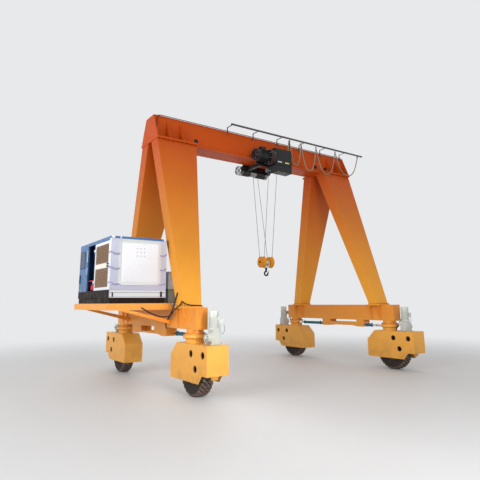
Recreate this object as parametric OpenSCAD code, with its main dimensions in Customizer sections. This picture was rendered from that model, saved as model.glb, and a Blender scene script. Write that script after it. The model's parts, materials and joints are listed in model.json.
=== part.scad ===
// Rubber tyred gantry crane: one box girder on two leg frames, four steered wheel bogies,
// a low-headroom rope hoist and a generator set on an outrigger platform.
// X runs along the girder, Y along the travel direction, Z up from the ground.

/* [Portal] */
// Distance between the two leg frames
span = 7290; // [6900:10:8400]
// Height of the girder's underside above the ground
girder_z = 6900; // [6500:50:7600]
// Distance between a frame's two leg feet, centre to centre
leg_spread = 3858; // [3700:10:4000]

/* [Girder] */
// Height of the girder over its flanges
girder_h = 790; // [700:10:900]
// Width of the girder over its webs
girder_w = 520; // [460:10:560]
// Width of the lower flange, whose lips carry the trolley
track_w = 744; // [720:4:760]
// Thickness of the lower flange and of the head flanges
flange_t = 28; // [20:1:36]
// Thickness of the upper flange
top_t = 20; // [14:1:30]
// Length of a head flange outside its leg frame
head_out = 372; // [340:4:400]
// Length of a head flange inside its leg frame
head_in = 953; // [900:1:1000]
// Width of a head flange along the travel direction
head_w = 1234; // [1180:2:1280]
// Thickness of gussets and ribs
rib_t = 14; // [10:1:20]

/* [Legs] */
// Width of a leg at its foot, along the girder
foot_w = 500; // [460:10:540]
// Depth of a leg at its foot, along the travel direction
foot_d = 386; // [350:2:420]
// Depth of a leg at its head
crown_d = 440; // [400:10:460]
// Gap between a frame's two legs at their heads
crown_gap = 230; // [180:10:280]
// Thickness of a leg's foot flange
foot_t = 30; // [20:1:40]

/* [Sill] */
// Length of a sill beam
sill_l = 5250; // [5200:10:5400]
// Width of a sill beam
sill_w = 330; // [300:10:360]
// Height of a sill beam
sill_h = 514; // [460:2:560]
// Height of the sill's underside above the ground
sill_z = 1510; // [1480:5:1560]
// Height of the steering frame below the sill
steer_drop = 230; // [200:5:250]

/* [Bogies] */
// Distance of a steering pivot from its end of the sill
pivot_inset = 315; // [295:5:335]
// Distance from a steering pivot to its wheel centre, outwards
wheel_trail = 118; // [90:2:140]
// Width of a wheel hood
hood_w = 564; // [540:2:600]
// Height of a hood's top above the ground
hood_z = 1200; // [1190:2:1220]
// Thickness of a hood's plates
plate_t = 12; // [8:1:16]
// Outer radius of the slewing ring's lower flange
ring_r = 290; // [280:2:300]
// Radius of the slewing ring's spigot
spigot_r = 150; // [120:2:170]

/* [Wheels] */
// Tyre radius
tyre_r = 560; // [540:2:568]
// Tyre width
tyre_w = 310; // [280:2:330]
// Rim radius
rim_r = 268; // [250:2:300]
// Axle radius
axle_r = 45; // [35:1:55]

/* [Steering cylinders] */
// Offset of the steering lug from the pivot, along the girder
lug_x = 120; // [100:2:140]
// Offset of the steering lug from the pivot, along the sill
lug_y = 360; // [350:2:380]
// Radius of a cylinder barrel
barrel_r = 50; // [40:1:55]
// Radius of a piston rod
rod_r = 25; // [18:1:30]
// Length of rod that shows when the wheels run straight
rod_out = 140; // [120:2:160]

/* [Hoist] */
// Position of the hook along the girder, from mid span
hook_x = 325; // [200:5:400]
// Height of the hook block's sheave axis
block_z = 3465; // [3200:5:3800]
// Radius of the trolley wheels
runner_r = 80; // [70:1:90]
// Radius of the rope drum
drum_r = 150; // [130:2:160]
// Distance of the drum's axis from the girder's centre
drum_y = 640; // [620:5:680]
// Distance of the drum's axis below the girder's underside
drum_drop = 150; // [130:5:200]
// Radius of the hoist motor over its fins
motor_r = 205; // [180:5:220]
// Rope radius
rope_r = 7; // [5:0.5:9]
// Radius of the hook block's sheave guards
guard_r = 185; // [160:5:200]

/* [Festoon] */
// Distance of the cable rail from the girder's centre
rail_y = 680; // [660:5:720]
// Height of the cable rail above the girder's top
rail_rise = 90; // [70:5:120]
// Radius of the festoon cable
lead_r = 13; // [9:1:16]

/* [Generator set] */
// Distance of the platform's outer edge from the leg frame
deck_x = 1850; // [1800:10:1950]
// Front edge of the platform
deck_y0 = -1320; // [-1340:10:-1280]
// Rear edge of the platform
deck_y1 = 1620; // [1560:10:1650]
// Depth of the platform's beams
deck_h = 165; // [140:5:180]
// Height of the base tank
tank_h = 140; // [120:5:160]
// Width of the canopy
hood_x = 1480; // [1400:10:1500]
// Length of the canopy
hood_y = 2700; // [2500:10:2750]
// Height of the canopy above its tank
hood_h = 1510; // [1400:10:1600]
// Wall of the canopy
wall = 30; // [20:1:40]

/* [Clearances] */
// Radial clearance of shafts and rods in their bores
run = 0.05; // [0.02:0.01:0.08]
// Gap between seated faces of pieces that move on each other
seat = 0.3; // [0.2:0.05:0.4]

/* [Hidden] */
$fn = 48;

// The four corners: LEFT and RIGHT along X, FRONT and REAR along Y
LEFT = -1;
RIGHT = 1;
FRONT = -1;
REAR = 1;

// Levels
web_z = girder_z + flange_t;
girder_top = girder_z + girder_h;
head_z = girder_z - flange_t;
sill_top = sill_z + sill_h;
foot_z = sill_top + foot_t;

// Leg frames
frame_x = span / 2;
foot_x = frame_x - 28;
crown_margin = 15;
crown_y = crown_gap / 2;
foot_y = leg_spread / 2;
girder_l = span + 2 * head_out;
web_hole_x = [2560, 3070];
web_hole_r = 60;

// Slewing ring, from the hood upwards
pivot_y = sill_l / 2 - pivot_inset;
neck_r = 0.78 * ring_r;
ring_t = 50;
neck_h = 125;
ring_z = hood_z + neck_h + ring_t;
upper_t = 35;

// Wheels
wheel_y = pivot_y + wheel_trail;
axle_z = tyre_r;
hood_in = 838;
hood_out = 929;
chamfer = 312;
chamfer_z = 904;
skirt_z = 360;
notch_z = 548;
notch_y0 = 552;
notch_y1 = 706;
hole_r = 62;

// Steering linkage
link_z = ring_z - ring_t / 2;
lug_at = pivot_y - lug_y;
lug_t = 30;
fork_gap = 5;
cheek_t = 22;
eye_r = 45;
pin_r = 20;
// Where each steering frame ends, and the cylinder's base pin beyond it
frame_ends = [[-1000, 1340], [-1340, 640]];
base_reach = 60;
// Window in each steering frame: its ends along Y and its height
frame_windows = [[-260, 660, 150], [-1030, 240, 85]];

// Trolley
lip_z = web_z + seat;
runner_z = lip_z + runner_r;
runner_w = 60;
runner_y = (girder_w + track_w) / 4;
cheek_y = track_w / 2 + 28;
side_t = 20;
wheel_gap = 420;
stub_r = 22;
journal_r = 35;
trolley_x0 = hook_x - 640;
trolley_x1 = hook_x + 600;
cheek_low = girder_z - 210;
cheek_high = girder_z + 260;
cheek_chamfer = 75;
tow_z = girder_z + 160;
drum_x0 = hook_x - 590;
drum_x1 = hook_x + 535;
drum_z = girder_z - drum_drop;

// Ropes: the block's two sheaves, and the upper end of each fall
sheave_x = 165;
fall_y = 130;
rope_top = drum_z;
sheave_r = 95;
sheave_y = -(sheave_r + 115);
sheave_z = girder_z - 225;
sheave_lip = 8;
groove_r = sheave_r - sheave_lip;
groove_w = 2 * (rope_r + 6);
sheave_beam_z = girder_z - 120;
rope_gap = 1;
fall_tops = [[-155, 1], [35, 1], [-35, -1], [325, -1]];

// Festoon: rail, hanging points and the lowest point of each loop
rail_z = girder_top + rail_rise;
rail_h = 45;
rail_w = 50;
rail_wall = 4;
clamp_l = 40;
rail_x0 = -1500;
rail_x1 = 4720;
hang_x = [hook_x + 625, 1490, 2220, 3210, 4450];
loop_z = [girder_z + 120, girder_z - 130, girder_z - 120, girder_z];
hang_z = rail_z - 60;
loop_steps = 14;

// Generator set
deck_out = -frame_x - deck_x;
deck_beam = 90;
deck_top = sill_top + 110;
canopy_x0 = deck_out + 35;
canopy_y0 = deck_y0 + 20;
canopy_z = deck_top + tank_h;

// The model's box is centred on the origin: rail end to platform edge
middle_x = (rail_x1 + deck_out) / 2;

module place() translate([-middle_x, 0, 0]) children();
module at_corner(sx, sy) translate([sx * frame_x, sy * pivot_y, 0]) scale([sx, sy, 1]) children();
// A plate or section drawn in Y-Z, extruded along X and centred on x
module along_x(x, l) translate([x - l / 2, 0, 0]) rotate([90, 0, 90]) linear_extrude(l) children();
// A section drawn in X-Z, extruded along Y and centred on y
module along_y(y, l) translate([0, y + l / 2, 0]) rotate([90, 0, 0]) linear_extrude(l) children();
module block(lo, hi) translate(lo) cube(hi - lo);
module rod_x(x0, x1, y, z, r) translate([x0, y, z]) rotate([0, 90, 0]) cylinder(h = x1 - x0, r = r);
module rod_y(y0, y1, x, z, r) translate([x, y0, z]) rotate([-90, 0, 0]) cylinder(h = y1 - y0, r = r);

module main_girder() color("#d0641e") place() difference() {
    union() {
        block([-girder_l / 2, -girder_w / 2, girder_z], [girder_l / 2, girder_w / 2, girder_top]);
        block([-girder_l / 2, -track_w / 2, girder_z], [girder_l / 2, track_w / 2, web_z]);
        block([-girder_l / 2, -girder_w / 2 - 20, girder_top - top_t],
            [girder_l / 2, girder_w / 2 + 20, girder_top]);
        for (s = [LEFT, RIGHT]) scale([s, 1, 1]) head_flange();
    }
    for (s = [LEFT, RIGHT], m = [-1, 1], x = web_hole_x)
        translate([s * x, m * girder_w / 2, web_z + 195])
            rotate([90, 0, 0]) cylinder(h = 200, r = web_hole_r, center = true);
}

// The wide seat on a girder end with its gussets and its tapered end plate
module head_flange() {
    x0 = frame_x - head_in;
    x1 = frame_x + head_out;
    block([x0, -head_w / 2, girder_z], [x1, head_w / 2, web_z]);
    for (x = [x0 + 0.34 * (x1 - x0), x0 + 0.68 * (x1 - x0)], s = [-1, 1])
        along_x(x, rib_t) polygon([[s * (girder_w / 2 - 5), web_z - 5], [s * (head_w / 2 - 40), web_z - 5],
            [s * (head_w / 2 - 40), web_z + 60], [s * (girder_w / 2 - 5), girder_top - 130]]);
    along_x(x1 - rib_t, 2 * rib_t) polygon([[-head_w / 2 + 20, web_z - 5], [head_w / 2 - 20, web_z - 5],
        [girder_w / 2 + 20, girder_top - top_t / 2], [-girder_w / 2 - 20, girder_top - top_t / 2]]);
}

// The flanges that each leg pair is welded to, bolted under the girder
module head_plates() color("#c9601c") place() for (s = [LEFT, RIGHT]) scale([s, 1, 1])
    block([frame_x - head_in, -head_w / 2, head_z], [frame_x + head_out, head_w / 2, girder_z]);

// A leg is the meeting of its front outline and its side outline
module leg(sx, sy) place() scale([sx, sy, 1]) {
    x0 = frame_x - head_in + crown_margin;
    x1 = frame_x + head_out - crown_margin;
    intersection() {
        along_y(foot_y / 2, leg_spread) polygon([[foot_x - foot_w / 2, foot_z - foot_t / 2],
            [foot_x + foot_w / 2, foot_z - foot_t / 2], [x1, head_z], [x0, head_z]]);
        along_x(frame_x, 4 * foot_w) polygon([[foot_y - foot_d / 2, foot_z - foot_t / 2],
            [foot_y + foot_d / 2, foot_z - foot_t / 2], [crown_y + crown_d, head_z], [crown_y, head_z]]);
    }
    block([foot_x - foot_w / 2 - 30, foot_y - foot_d / 2 - 45, sill_top],
        [foot_x + foot_w / 2 + 30, foot_y + foot_d / 2 + 45, foot_z]);
}
module leg_left_front() color("#f0a03c") leg(LEFT, FRONT);
module leg_left_rear() color("#e8963a") leg(LEFT, REAR);
module leg_right_front() color("#f0a03c") leg(RIGHT, FRONT);
module leg_right_rear() color("#e8963a") leg(RIGHT, REAR);

// Sill beam with leg seats, steering frame, and slewing pedestals at both ends
module sill(sx, ends, window) place() translate([sx * frame_x, 0, 0]) {
    difference() {
        union() {
            block([-sill_w / 2, -sill_l / 2, sill_z], [sill_w / 2, sill_l / 2, sill_top]);
            steering_frame(ends);
        }
        steering_window(window);
    }
    for (sy = [FRONT, REAR]) {
        leg_seat(sx, sy);
        translate([0, sy * pivot_y, 0]) pedestal();
        cylinder_bracket(-sx * lug_x, ends[sy == FRONT ? 0 : 1], sy);
    }
}
module leg_seat(sx, sy) {
    cx = sx * (foot_x - frame_x);
    seat_t = 24;
    w = foot_w / 2 + 30;
    block([cx - w, sy * foot_y - foot_d / 2 - 45, sill_top - seat_t],
        [cx + w, sy * foot_y + foot_d / 2 + 45, sill_top]);
    for (s = [-1, 1], y = [-1, 1])
        translate([0, sy * foot_y + y * (foot_d / 2 - 20), 0])
            along_y(0, rib_t) polygon([[s * (sill_w / 2 - 5), sill_z + 20],
                [s * (sill_w / 2 + 20), sill_z + 20], [cx + s * (w - 10), sill_top - seat_t + 5],
                [s * (sill_w / 2 - 5), sill_top - seat_t + 5]]);
}
module steering_frame(ends) {
    slope = 70;
    for (s = [-1, 1]) along_x(s * (sill_w / 2 - plate_t / 2), plate_t)
        polygon([[ends[0], sill_z + 5], [ends[1], sill_z + 5], [ends[1], sill_z - steer_drop],
            [ends[1] - 250, sill_z - steer_drop], [ends[1] - 500, sill_z - steer_drop + slope / 2],
            [ends[0] + 500, sill_z - steer_drop + slope / 2], [ends[0] + 250, sill_z - steer_drop],
            [ends[0], sill_z - steer_drop]]);
    for (y = [ends[0] + plate_t / 2, ends[0] + 300, ends[1] - 300, ends[1] - plate_t / 2])
        block([-sill_w / 2 + 5, y - plate_t / 2, sill_z - steer_drop + 5],
            [sill_w / 2 - 5, y + plate_t / 2, sill_z + 5]);
}
module steering_window(w) block([-sill_w, w[0], sill_z - w[2]], [sill_w, w[1], sill_z - 1]);
// Fixed half of the slewing ring: ribs, flange and the spigot that the bogie turns on
module pedestal() {
    low = ring_z + seat;
    translate([0, 0, low]) cylinder(h = upper_t, r = ring_r - 25, $fn = 64);
    translate([0, 0, low]) cylinder(h = sill_z - low + 5, r = neck_r - 20, $fn = 64);
    translate([0, 0, hood_z + 45]) cylinder(h = low - hood_z, r = spigot_r, $fn = 64);
    for (a = [0 : 45 : 315]) rotate([0, 0, a]) along_y(0, rib_t)
        polygon([[neck_r - 40, low + 5], [ring_r - 40, low + upper_t - 5],
            [ring_r - 40, low + upper_t + 10], [min(sill_w / 2 - 10, neck_r + 10), sill_z + 5],
            [neck_r - 80, sill_z + 5]]);
}
// Two ears and the pin that a steering cylinder swings on
module cylinder_bracket(x, end, sy) {
    y = end + sy * base_reach;
    for (s = [-1, 1]) translate([x, 0, link_z + s * (eye_r / 2 + cheek_t / 2 + fork_gap)]) {
        translate([0, (end + y) / 2, 0]) cube([2 * eye_r, base_reach + 10, cheek_t], center = true);
        translate([0, y, 0]) cylinder(h = cheek_t, r = eye_r, center = true);
    }
    translate([x, y, link_z]) cylinder(h = eye_r + 2 * cheek_t + 2 * fork_gap, r = pin_r, center = true);
}
module sill_left() color("#e88f34") sill(LEFT, frame_ends[0], frame_windows[0]);
module sill_right() color("#e88f34") sill(RIGHT, frame_ends[1], frame_windows[1]);

// Wheel hood: side plates, top, ends, the turning half of the slewing ring and the axle.
// Drawn with the steering pivot at the origin and outwards along +Y.
module hood_profile() {
    c = wheel_trail;
    polygon([[c - hood_in, skirt_z], [c + notch_y0, skirt_z], [c + notch_y1, notch_z],
        [c + hood_out, notch_z], [c + hood_out, hood_z], [c - hood_in + chamfer, hood_z],
        [c - hood_in, chamfer_z]]);
}
module hood_void() {
    c = wheel_trail;
    t = plate_t;
    polygon([[c - hood_in + t, skirt_z - 300], [c + hood_out - t, skirt_z - 300],
        [c + hood_out - t, hood_z - t], [c - hood_in + chamfer + t / 2, hood_z - t],
        [c - hood_in + t, chamfer_z - t / 2]]);
}
module hood(sx, sy) place() at_corner(sx, sy) difference() {
    union() {
        difference() {
            along_x(0, hood_w) hood_profile();
            along_x(0, hood_w - 2 * plate_t) hood_void();
            for (p = [[200, 990], [745, 990], [405, 668]])
                translate([0, wheel_trail + p[0], p[1]]) rotate([0, 90, 0])
                    cylinder(h = hood_w + 10, r = hole_r, center = true);
        }
        slewing_neck();
        rod_x(-hood_w / 2 + plate_t / 2, hood_w / 2 - plate_t / 2, wheel_trail, axle_z, axle_r);
        steering_lug();
        scraper();
    }
    translate([0, 0, hood_z + 40]) cylinder(h = neck_h + ring_t, r = spigot_r + run, $fn = 64);
}
// Turning half of the slewing ring: a neck that flares out to its flange, as one turned profile
module slewing_neck() rotate_extrude($fn = 64)
    polygon([[0, hood_z - plate_t / 2], [neck_r - 8, hood_z - plate_t / 2],
        [neck_r - 8, hood_z + 0.4 * neck_h], [neck_r + 4, hood_z + 0.7 * neck_h],
        [ring_r - 30, hood_z + neck_h - 12], [ring_r - 14, hood_z + neck_h - 4],
        [ring_r, hood_z + neck_h], [ring_r, ring_z], [0, ring_z]]);
module steering_lug() translate([-lug_x, -lug_y, link_z]) {
    cylinder(h = lug_t, r = eye_r, center = true);
    translate([0, eye_r + 20, 0]) cube([2 * eye_r, 2 * eye_r + 40, lug_t], center = true);
}
module scraper() {
    y = wheel_trail + hood_out - 130;
    block([-90, y - 8, notch_z - 95], [90, y, notch_z + 60]);
    block([-hood_w / 2 + 4, y - 20, notch_z + 40], [hood_w / 2 - 4, y + 12, notch_z + 60]);
}
module hood_left_front() color("#f0a83e") hood(LEFT, FRONT);
module hood_left_rear() color("#f0a83e") hood(LEFT, REAR);
module hood_right_front() color("#f0a83e") hood(RIGHT, FRONT);
module hood_right_rear() color("#f0a83e") hood(RIGHT, REAR);

// Travel drive: foot-mounted bevel gear unit with an upright finned motor
module gearmotor(sx, sy) place() translate([sx * (frame_x - 110), sy * (pivot_y + 690), hood_z]) {
    gear_w = 240;
    gear_h = 330;
    drive_r = 118;
    block([-gear_w / 2 - 30, -130, 0], [gear_w / 2 + 30, -85, 28]);
    block([-gear_w / 2 - 30, 85, 0], [gear_w / 2 + 30, 130, 28]);
    along_y(0, 220) polygon([[-gear_w / 2, 10], [gear_w / 2, 10], [gear_w / 2, gear_h - 90],
        [gear_w / 2 - 50, gear_h], [-gear_w / 2 + 50, gear_h], [-gear_w / 2, gear_h - 90]]);
    rod_x(min(0, sx * (gear_w / 2 + 80)), max(0, sx * (gear_w / 2 + 80)), 0, 150, 105);
    rod_x(min(0, sx * (gear_w / 2 + 130)), max(0, sx * (gear_w / 2 + 130)), 0, 150, 38);
    translate([0, 0, gear_h - 10]) cylinder(h = 45, r = drive_r + 12);
    translate([0, 0, gear_h + 30]) cylinder(h = 290, r = drive_r - 16);
    for (a = [0 : 15 : 345]) rotate([0, 0, a]) translate([drive_r - 24, -3, gear_h + 50]) cube([24, 6, 235]);
    translate([0, 0, gear_h + 310]) cylinder(h = 110, r = drive_r);
    block([drive_r - 30, -70, gear_h + 110], [drive_r + 105, 70, gear_h + 245]);
}
module gearmotor_left_front() color("#b9c0c2") gearmotor(LEFT, FRONT);
module gearmotor_left_rear() color("#b9c0c2") gearmotor(LEFT, REAR);
module gearmotor_right_front() color("#b9c0c2") gearmotor(RIGHT, FRONT);
module gearmotor_right_rear() color("#b9c0c2") gearmotor(RIGHT, REAR);

module at_wheel(sx, sy) place()
    translate([sx * frame_x, sy * wheel_y, axle_z]) rotate([0, 90, 0]) children();
// Half section of the rim: hub, dished disc and drop-centre barrel
module rim(sx, sy) at_wheel(sx, sy) difference() {
    hub_w = hood_w / 2 - plate_t - 10;
    bw = tyre_w / 2 - 22;
    rotate_extrude($fn = 72) {
        polygon([[0, -hub_w], [axle_r + 35, -hub_w], [axle_r + 35, -40], [rim_r - 50, -8], [rim_r - 50, 22],
            [axle_r + 50, 40], [axle_r + 50, hub_w], [0, hub_w]]);
        polygon([[rim_r - 52, -60], [rim_r - 40, -60], [rim_r - 10, -bw], [rim_r, -bw], [rim_r, bw],
            [rim_r - 10, bw], [rim_r - 40, 60], [rim_r - 52, 60]]);
    }
    cylinder(h = 3 * hub_w, r = axle_r + run, center = true, $fn = 64);
    for (a = [0 : 45 : 315]) rotate([0, 0, a]) translate([0.62 * rim_r, 0, 0])
        cylinder(h = 120, r = 26, center = true);
}
module rim_left_front() color("#7a7f80") rim(LEFT, FRONT);
module rim_left_rear() color("#7a7f80") rim(LEFT, REAR);
module rim_right_front() color("#7a7f80") rim(RIGHT, FRONT);
module rim_right_rear() color("#7a7f80") rim(RIGHT, REAR);

// Tyre section: bead, bulging side wall, shoulder and crowned tread with three grooves
module tyre(sx, sy) at_wheel(sx, sy) rotate_extrude($fn = 72) {
    hw = tyre_w / 2;
    bead = rim_r + 0.2;
    groove = 14;
    difference() {
        polygon([[bead, -hw + 32], [bead + 55, -hw + 12], [0.5 * (bead + tyre_r), -hw],
            [tyre_r - 70, -hw + 6], [tyre_r - 22, -hw + 14], [tyre_r, -hw + 34], [tyre_r, hw - 34],
            [tyre_r - 22, hw - 14], [tyre_r - 70, hw - 6], [0.5 * (bead + tyre_r), hw],
            [bead + 55, hw - 12], [bead, hw - 32]]);
        for (y = [-0.5, 0, 0.5]) translate([tyre_r - groove, y * hw - 5]) square([2 * groove, 10]);
    }
}
module tyre_left_front() color("#2b2724") tyre(LEFT, FRONT);
module tyre_left_rear() color("#2b2724") tyre(LEFT, REAR);
module tyre_right_front() color("#2b2724") tyre(RIGHT, FRONT);
module tyre_right_rear() color("#2b2724") tyre(RIGHT, REAR);

// Steering cylinders: base pin on the steering frame, rod end at the bogie's lug
function base_y(sx, sy) = frame_ends[sx == LEFT ? 0 : 1][sy == FRONT ? 0 : 1] + sy * base_reach;
function link_l(sx, sy) = lug_at - sy * base_y(sx, sy);
module at_base(sx, sy) place()
    translate([sx * (frame_x - lug_x), base_y(sx, sy), link_z]) scale([1, sy, 1]) children();
module barrel(sx, sy) at_base(sx, sy) {
    l = link_l(sx, sy);
    neck = eye_r / 2 - 4;
    fork = 100;
    difference() {
        union() {
            cylinder(h = eye_r, r = eye_r, center = true);
            rod_y(0, 70, 0, 0, neck);
            rod_y(55, l - fork - rod_out, 0, 0, barrel_r);
            for (y = [75, l - fork - rod_out - 45]) rod_y(y, y + 22, 0, 0, barrel_r + 10);
        }
        cylinder(h = 2 * eye_r, r = pin_r + run, center = true);
        rod_y(72, l, 0, 0, rod_r + run);
    }
}
module barrel_left_front() color("#1d1f21") barrel(LEFT, FRONT);
module barrel_left_rear() color("#1d1f21") barrel(LEFT, REAR);
module barrel_right_front() color("#1d1f21") barrel(RIGHT, FRONT);
module barrel_right_rear() color("#1d1f21") barrel(RIGHT, REAR);
// Piston rod with its fork: two cheeks over and under the lug, each with half the pin
module rod(sx, sy) at_base(sx, sy) {
    l = link_l(sx, sy);
    cheek_z = lug_t / 2 + fork_gap;
    rod_y(136, l - 95, 0, 0, rod_r);
    block([-eye_r, l - 100, -cheek_z - cheek_t], [eye_r, l - 78, cheek_z + cheek_t]);
    for (s = [-1, 1]) translate([0, 0, s * (cheek_z + cheek_t / 2)]) {
        translate([0, l - 44, 0]) cube([1.5 * eye_r, 80, cheek_t], center = true);
        translate([0, l, 0]) cylinder(h = cheek_t, r = 0.75 * eye_r, center = true);
        translate([0, l, s * 8]) cylinder(h = cheek_t, r = pin_r, center = true);
    }
}
module rod_left_front() color("#c4c8ca") rod(LEFT, FRONT);
module rod_left_rear() color("#c4c8ca") rod(LEFT, REAR);
module rod_right_front() color("#c4c8ca") rod(RIGHT, FRONT);
module rod_right_rear() color("#c4c8ca") rod(RIGHT, REAR);

// Trolley frame: two cheeks, cross beams under the girder, stub axles, drum arms and tow arm
module trolley_frame() color("#1e2022") place() {
    arm_t = 26;
    beam_w = 90;
    beam_z = [girder_z - 190, girder_z - 70];
    for (s = [-1, 1]) along_y(s * (cheek_y + side_t / 2), side_t) difference() {
        trolley_cheek();
        translate([hook_x, web_z + 57]) square([260, 110], center = true);
    }
    for (x = [hook_x - 430, hook_x + 430])
        block([x - beam_w / 2, -cheek_y - 5, beam_z[0]], [x + beam_w / 2, cheek_y + 5, beam_z[1]]);
    block([hook_x - 400, sheave_y - 14, sheave_beam_z], [hook_x + 400, sheave_y + 14, sheave_beam_z + 70]);
    for (x = [-wheel_gap, wheel_gap], s = [-1, 1])
        rod_y(min(s * (cheek_y + 5), s * (runner_y - runner_w / 2 - 8)),
            max(s * (cheek_y + 5), s * (runner_y - runner_w / 2 - 8)), hook_x + x, runner_z, stub_r);
    for (x = [drum_x0 - 10 - arm_t / 2, drum_x1 + 10 + arm_t / 2]) difference() {
        along_x(x, arm_t) polygon([[cheek_y + 5, girder_z - 200], [cheek_y + 5, girder_z],
            [drum_y + 60, drum_z + 90], [drum_y + 90, drum_z], [drum_y + 60, drum_z - 80]]);
        rod_x(x - arm_t, x + arm_t, drum_y, drum_z, journal_r + run);
    }
    tow_arm();
}
// Outline of a side plate, which carries the wheels above and the cross beams below
module trolley_cheek() {
    c = cheek_chamfer;
    polygon([[trolley_x0, cheek_low + c], [trolley_x0 + 1.6 * c, cheek_low],
        [trolley_x1 - 0.8 * c, cheek_low], [trolley_x1, cheek_low + c],
        [trolley_x1, cheek_high - c], [trolley_x1 - c, cheek_high],
        [trolley_x0 + c, cheek_high], [trolley_x0, cheek_high - c]]);
}
// Tow arm that leads the festoon cable to the rail
module tow_arm() {
    arm_h = 40;
    arm_w = 12;
    x = hang_x[0];
    y = -rail_y + lead_r + 1;
    block([trolley_x1 - 30, -cheek_y - side_t + 2, tow_z], [x + arm_w, -cheek_y - 2, tow_z + arm_h]);
    block([x - arm_w, y, tow_z], [x + arm_w, -cheek_y - 5, tow_z + arm_h]);
    block([x - arm_w, y, tow_z], [x + arm_w, y + 10, hang_z + lead_r + 8]);
    cable_clamp(x, hang_z + lead_r + 8);
}
module trolley_wheels(x) color("#5b5f61") place() for (s = [-1, 1]) difference() {
    translate([hook_x + x, s * runner_y, runner_z]) rotate([90, 0, 0])
        cylinder(h = runner_w, r = runner_r, center = true, $fn = 64);
    translate([hook_x + x, s * runner_y, runner_z]) rotate([90, 0, 0])
        cylinder(h = 2 * runner_w, r = stub_r + run, center = true);
}
module trolley_wheels_front() trolley_wheels(-wheel_gap);
module trolley_wheels_rear() trolley_wheels(wheel_gap);

// Hoist drive on the near cheek: gear case, finned motor and its brake cover
case_r = motor_r + 45;
case_x = [hook_x - 365, hook_x - 150];
motor_l = 410;
brake_l = 160;
motor_y = -(cheek_y + side_t + case_r + 1);
motor_z = girder_z + 60;
module hoist_motor() color("#232527") place() {
    fins = 24;
    fin_t = 8;
    x0 = case_x[0] - motor_l + 10;
    rod_x(case_x[0], case_x[1], motor_y, motor_z, case_r);
    block([case_x[0] + 10, -cheek_y - side_t - 60, motor_z - 160],
        [case_x[1] - 15, -cheek_y - side_t, motor_z + 160]);
    rod_x(x0, case_x[0] + 10, motor_y, motor_z, motor_r - 25);
    for (i = [0 : fins - 1]) translate([0, motor_y, motor_z]) rotate([i * 360 / fins, 0, 0])
        block([x0 + 40, motor_r - 40, -fin_t / 2], [case_x[0] - 20, motor_r, fin_t / 2]);
    rod_x(x0 - brake_l + 10, x0 + 10, motor_y, motor_z, motor_r - 10);
    for (a = [22 : 45 : 337]) translate([0, motor_y, motor_z]) rotate([a, 0, 0])
        rod_x(case_x[0] - 30, case_x[1] + 10, motor_r + 22, 0, 18);
}
// Switch cabinet with its door, the plates on it and the cut-back lower corner
module hoist_cabinet() color("#17191a") place() {
    x0 = hook_x - 120;
    x1 = hook_x + 610;
    y1 = -cheek_y - side_t;
    y0 = y1 - 350;
    low = girder_z - 420;
    high = girder_z + 400;
    along_y((y0 + y1) / 2, y1 - y0)
        polygon([[x0, low + 210], [x0 + 125, low + 20], [x1, low], [x1, high], [x0, high]]);
    block([x0 + 20, y0 - 14, low + 240], [x1 - 20, y0, high - 20]);
    for (x = [x0 + 95, x0 + 415]) block([x, y0 - 20, low + 320], [x + 190, y0 - 10, low + 370]);
    block([x0 + 95, y0 - 22, high - 280], [x0 + 355, y0 - 10, high - 100]);
}
// Grooved drum with end flanges, journals and the bright disc at its outer end
module hoist_drum() color("#8b9093") place() {
    pitch = 40;
    rod_x(drum_x0, drum_x1, drum_y, drum_z, drum_r - 8);
    for (x = [drum_x0 + 40 : pitch : drum_x1 - 60]) rod_x(x, x + pitch / 2, drum_y, drum_z, drum_r);
    for (x = [drum_x0, drum_x1 - 18]) rod_x(x, x + 18, drum_y, drum_z, drum_r + 25);
    rod_x(drum_x0 - 120, drum_x1 + 50, drum_y, drum_z, journal_r);
    difference() {
        rod_x(drum_x0 - 110, drum_x0 - 70, drum_y, drum_z, drum_r + 25);
        rod_x(drum_x0 - 120, drum_x0 - 82, drum_y, drum_z, drum_r + 5);
    }
    rod_x(drum_x0 - 115, drum_x0 - 70, drum_y, drum_z, 60);
}
module return_sheave() color("#6d7173") place() {
    for (x = [fall_tops[2][0], fall_tops[3][0]])
        translate([hook_x + x, sheave_y, sheave_z]) rotate([0, 90, 0]) rotate_extrude()
            polygon([[0, -20], [sheave_r + sheave_lip, -20], [sheave_r + sheave_lip, -groove_w / 2],
                [groove_r, -groove_w / 2], [groove_r, groove_w / 2],
                [sheave_r + sheave_lip, groove_w / 2], [sheave_r + sheave_lip, 20], [0, 20]]);
    rod_x(hook_x + fall_tops[2][0] - 60, hook_x + fall_tops[3][0] + 60, sheave_y, sheave_z, 30);
    for (x = [fall_tops[2][0] - 45, fall_tops[3][0] + 45])
        block([hook_x + x - 9, sheave_y - 40, sheave_z - 40],
            [hook_x + x + 9, sheave_y + 40, sheave_beam_z]);
}

// Four rope falls, from drum and return sheaves down to the block
module fall(a, b) {
    d = b - a;
    l = norm(d);
    translate(a) rotate([0, acos(d[2] / l), atan2(d[1], d[0])]) cylinder(h = l, r = rope_r, $fn = 16);
}
function block_x(i) = hook_x + (i % 2 == 0 ? -sheave_x : sheave_x);
module hoist_ropes() color("#4a4d4f") place() for (i = [0 : 3]) {
    far = fall_tops[i][1] == 1;
    top = far ? [hook_x + fall_tops[i][0], drum_y - drum_r - rope_r - seat, rope_top]
        : [hook_x + fall_tops[i][0], sheave_y - groove_r - rope_r - rope_gap, sheave_z];
    fall(top, [block_x(i), (far ? 1 : -1) * fall_y, block_z + guard_r + rope_gap]);
}
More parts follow.
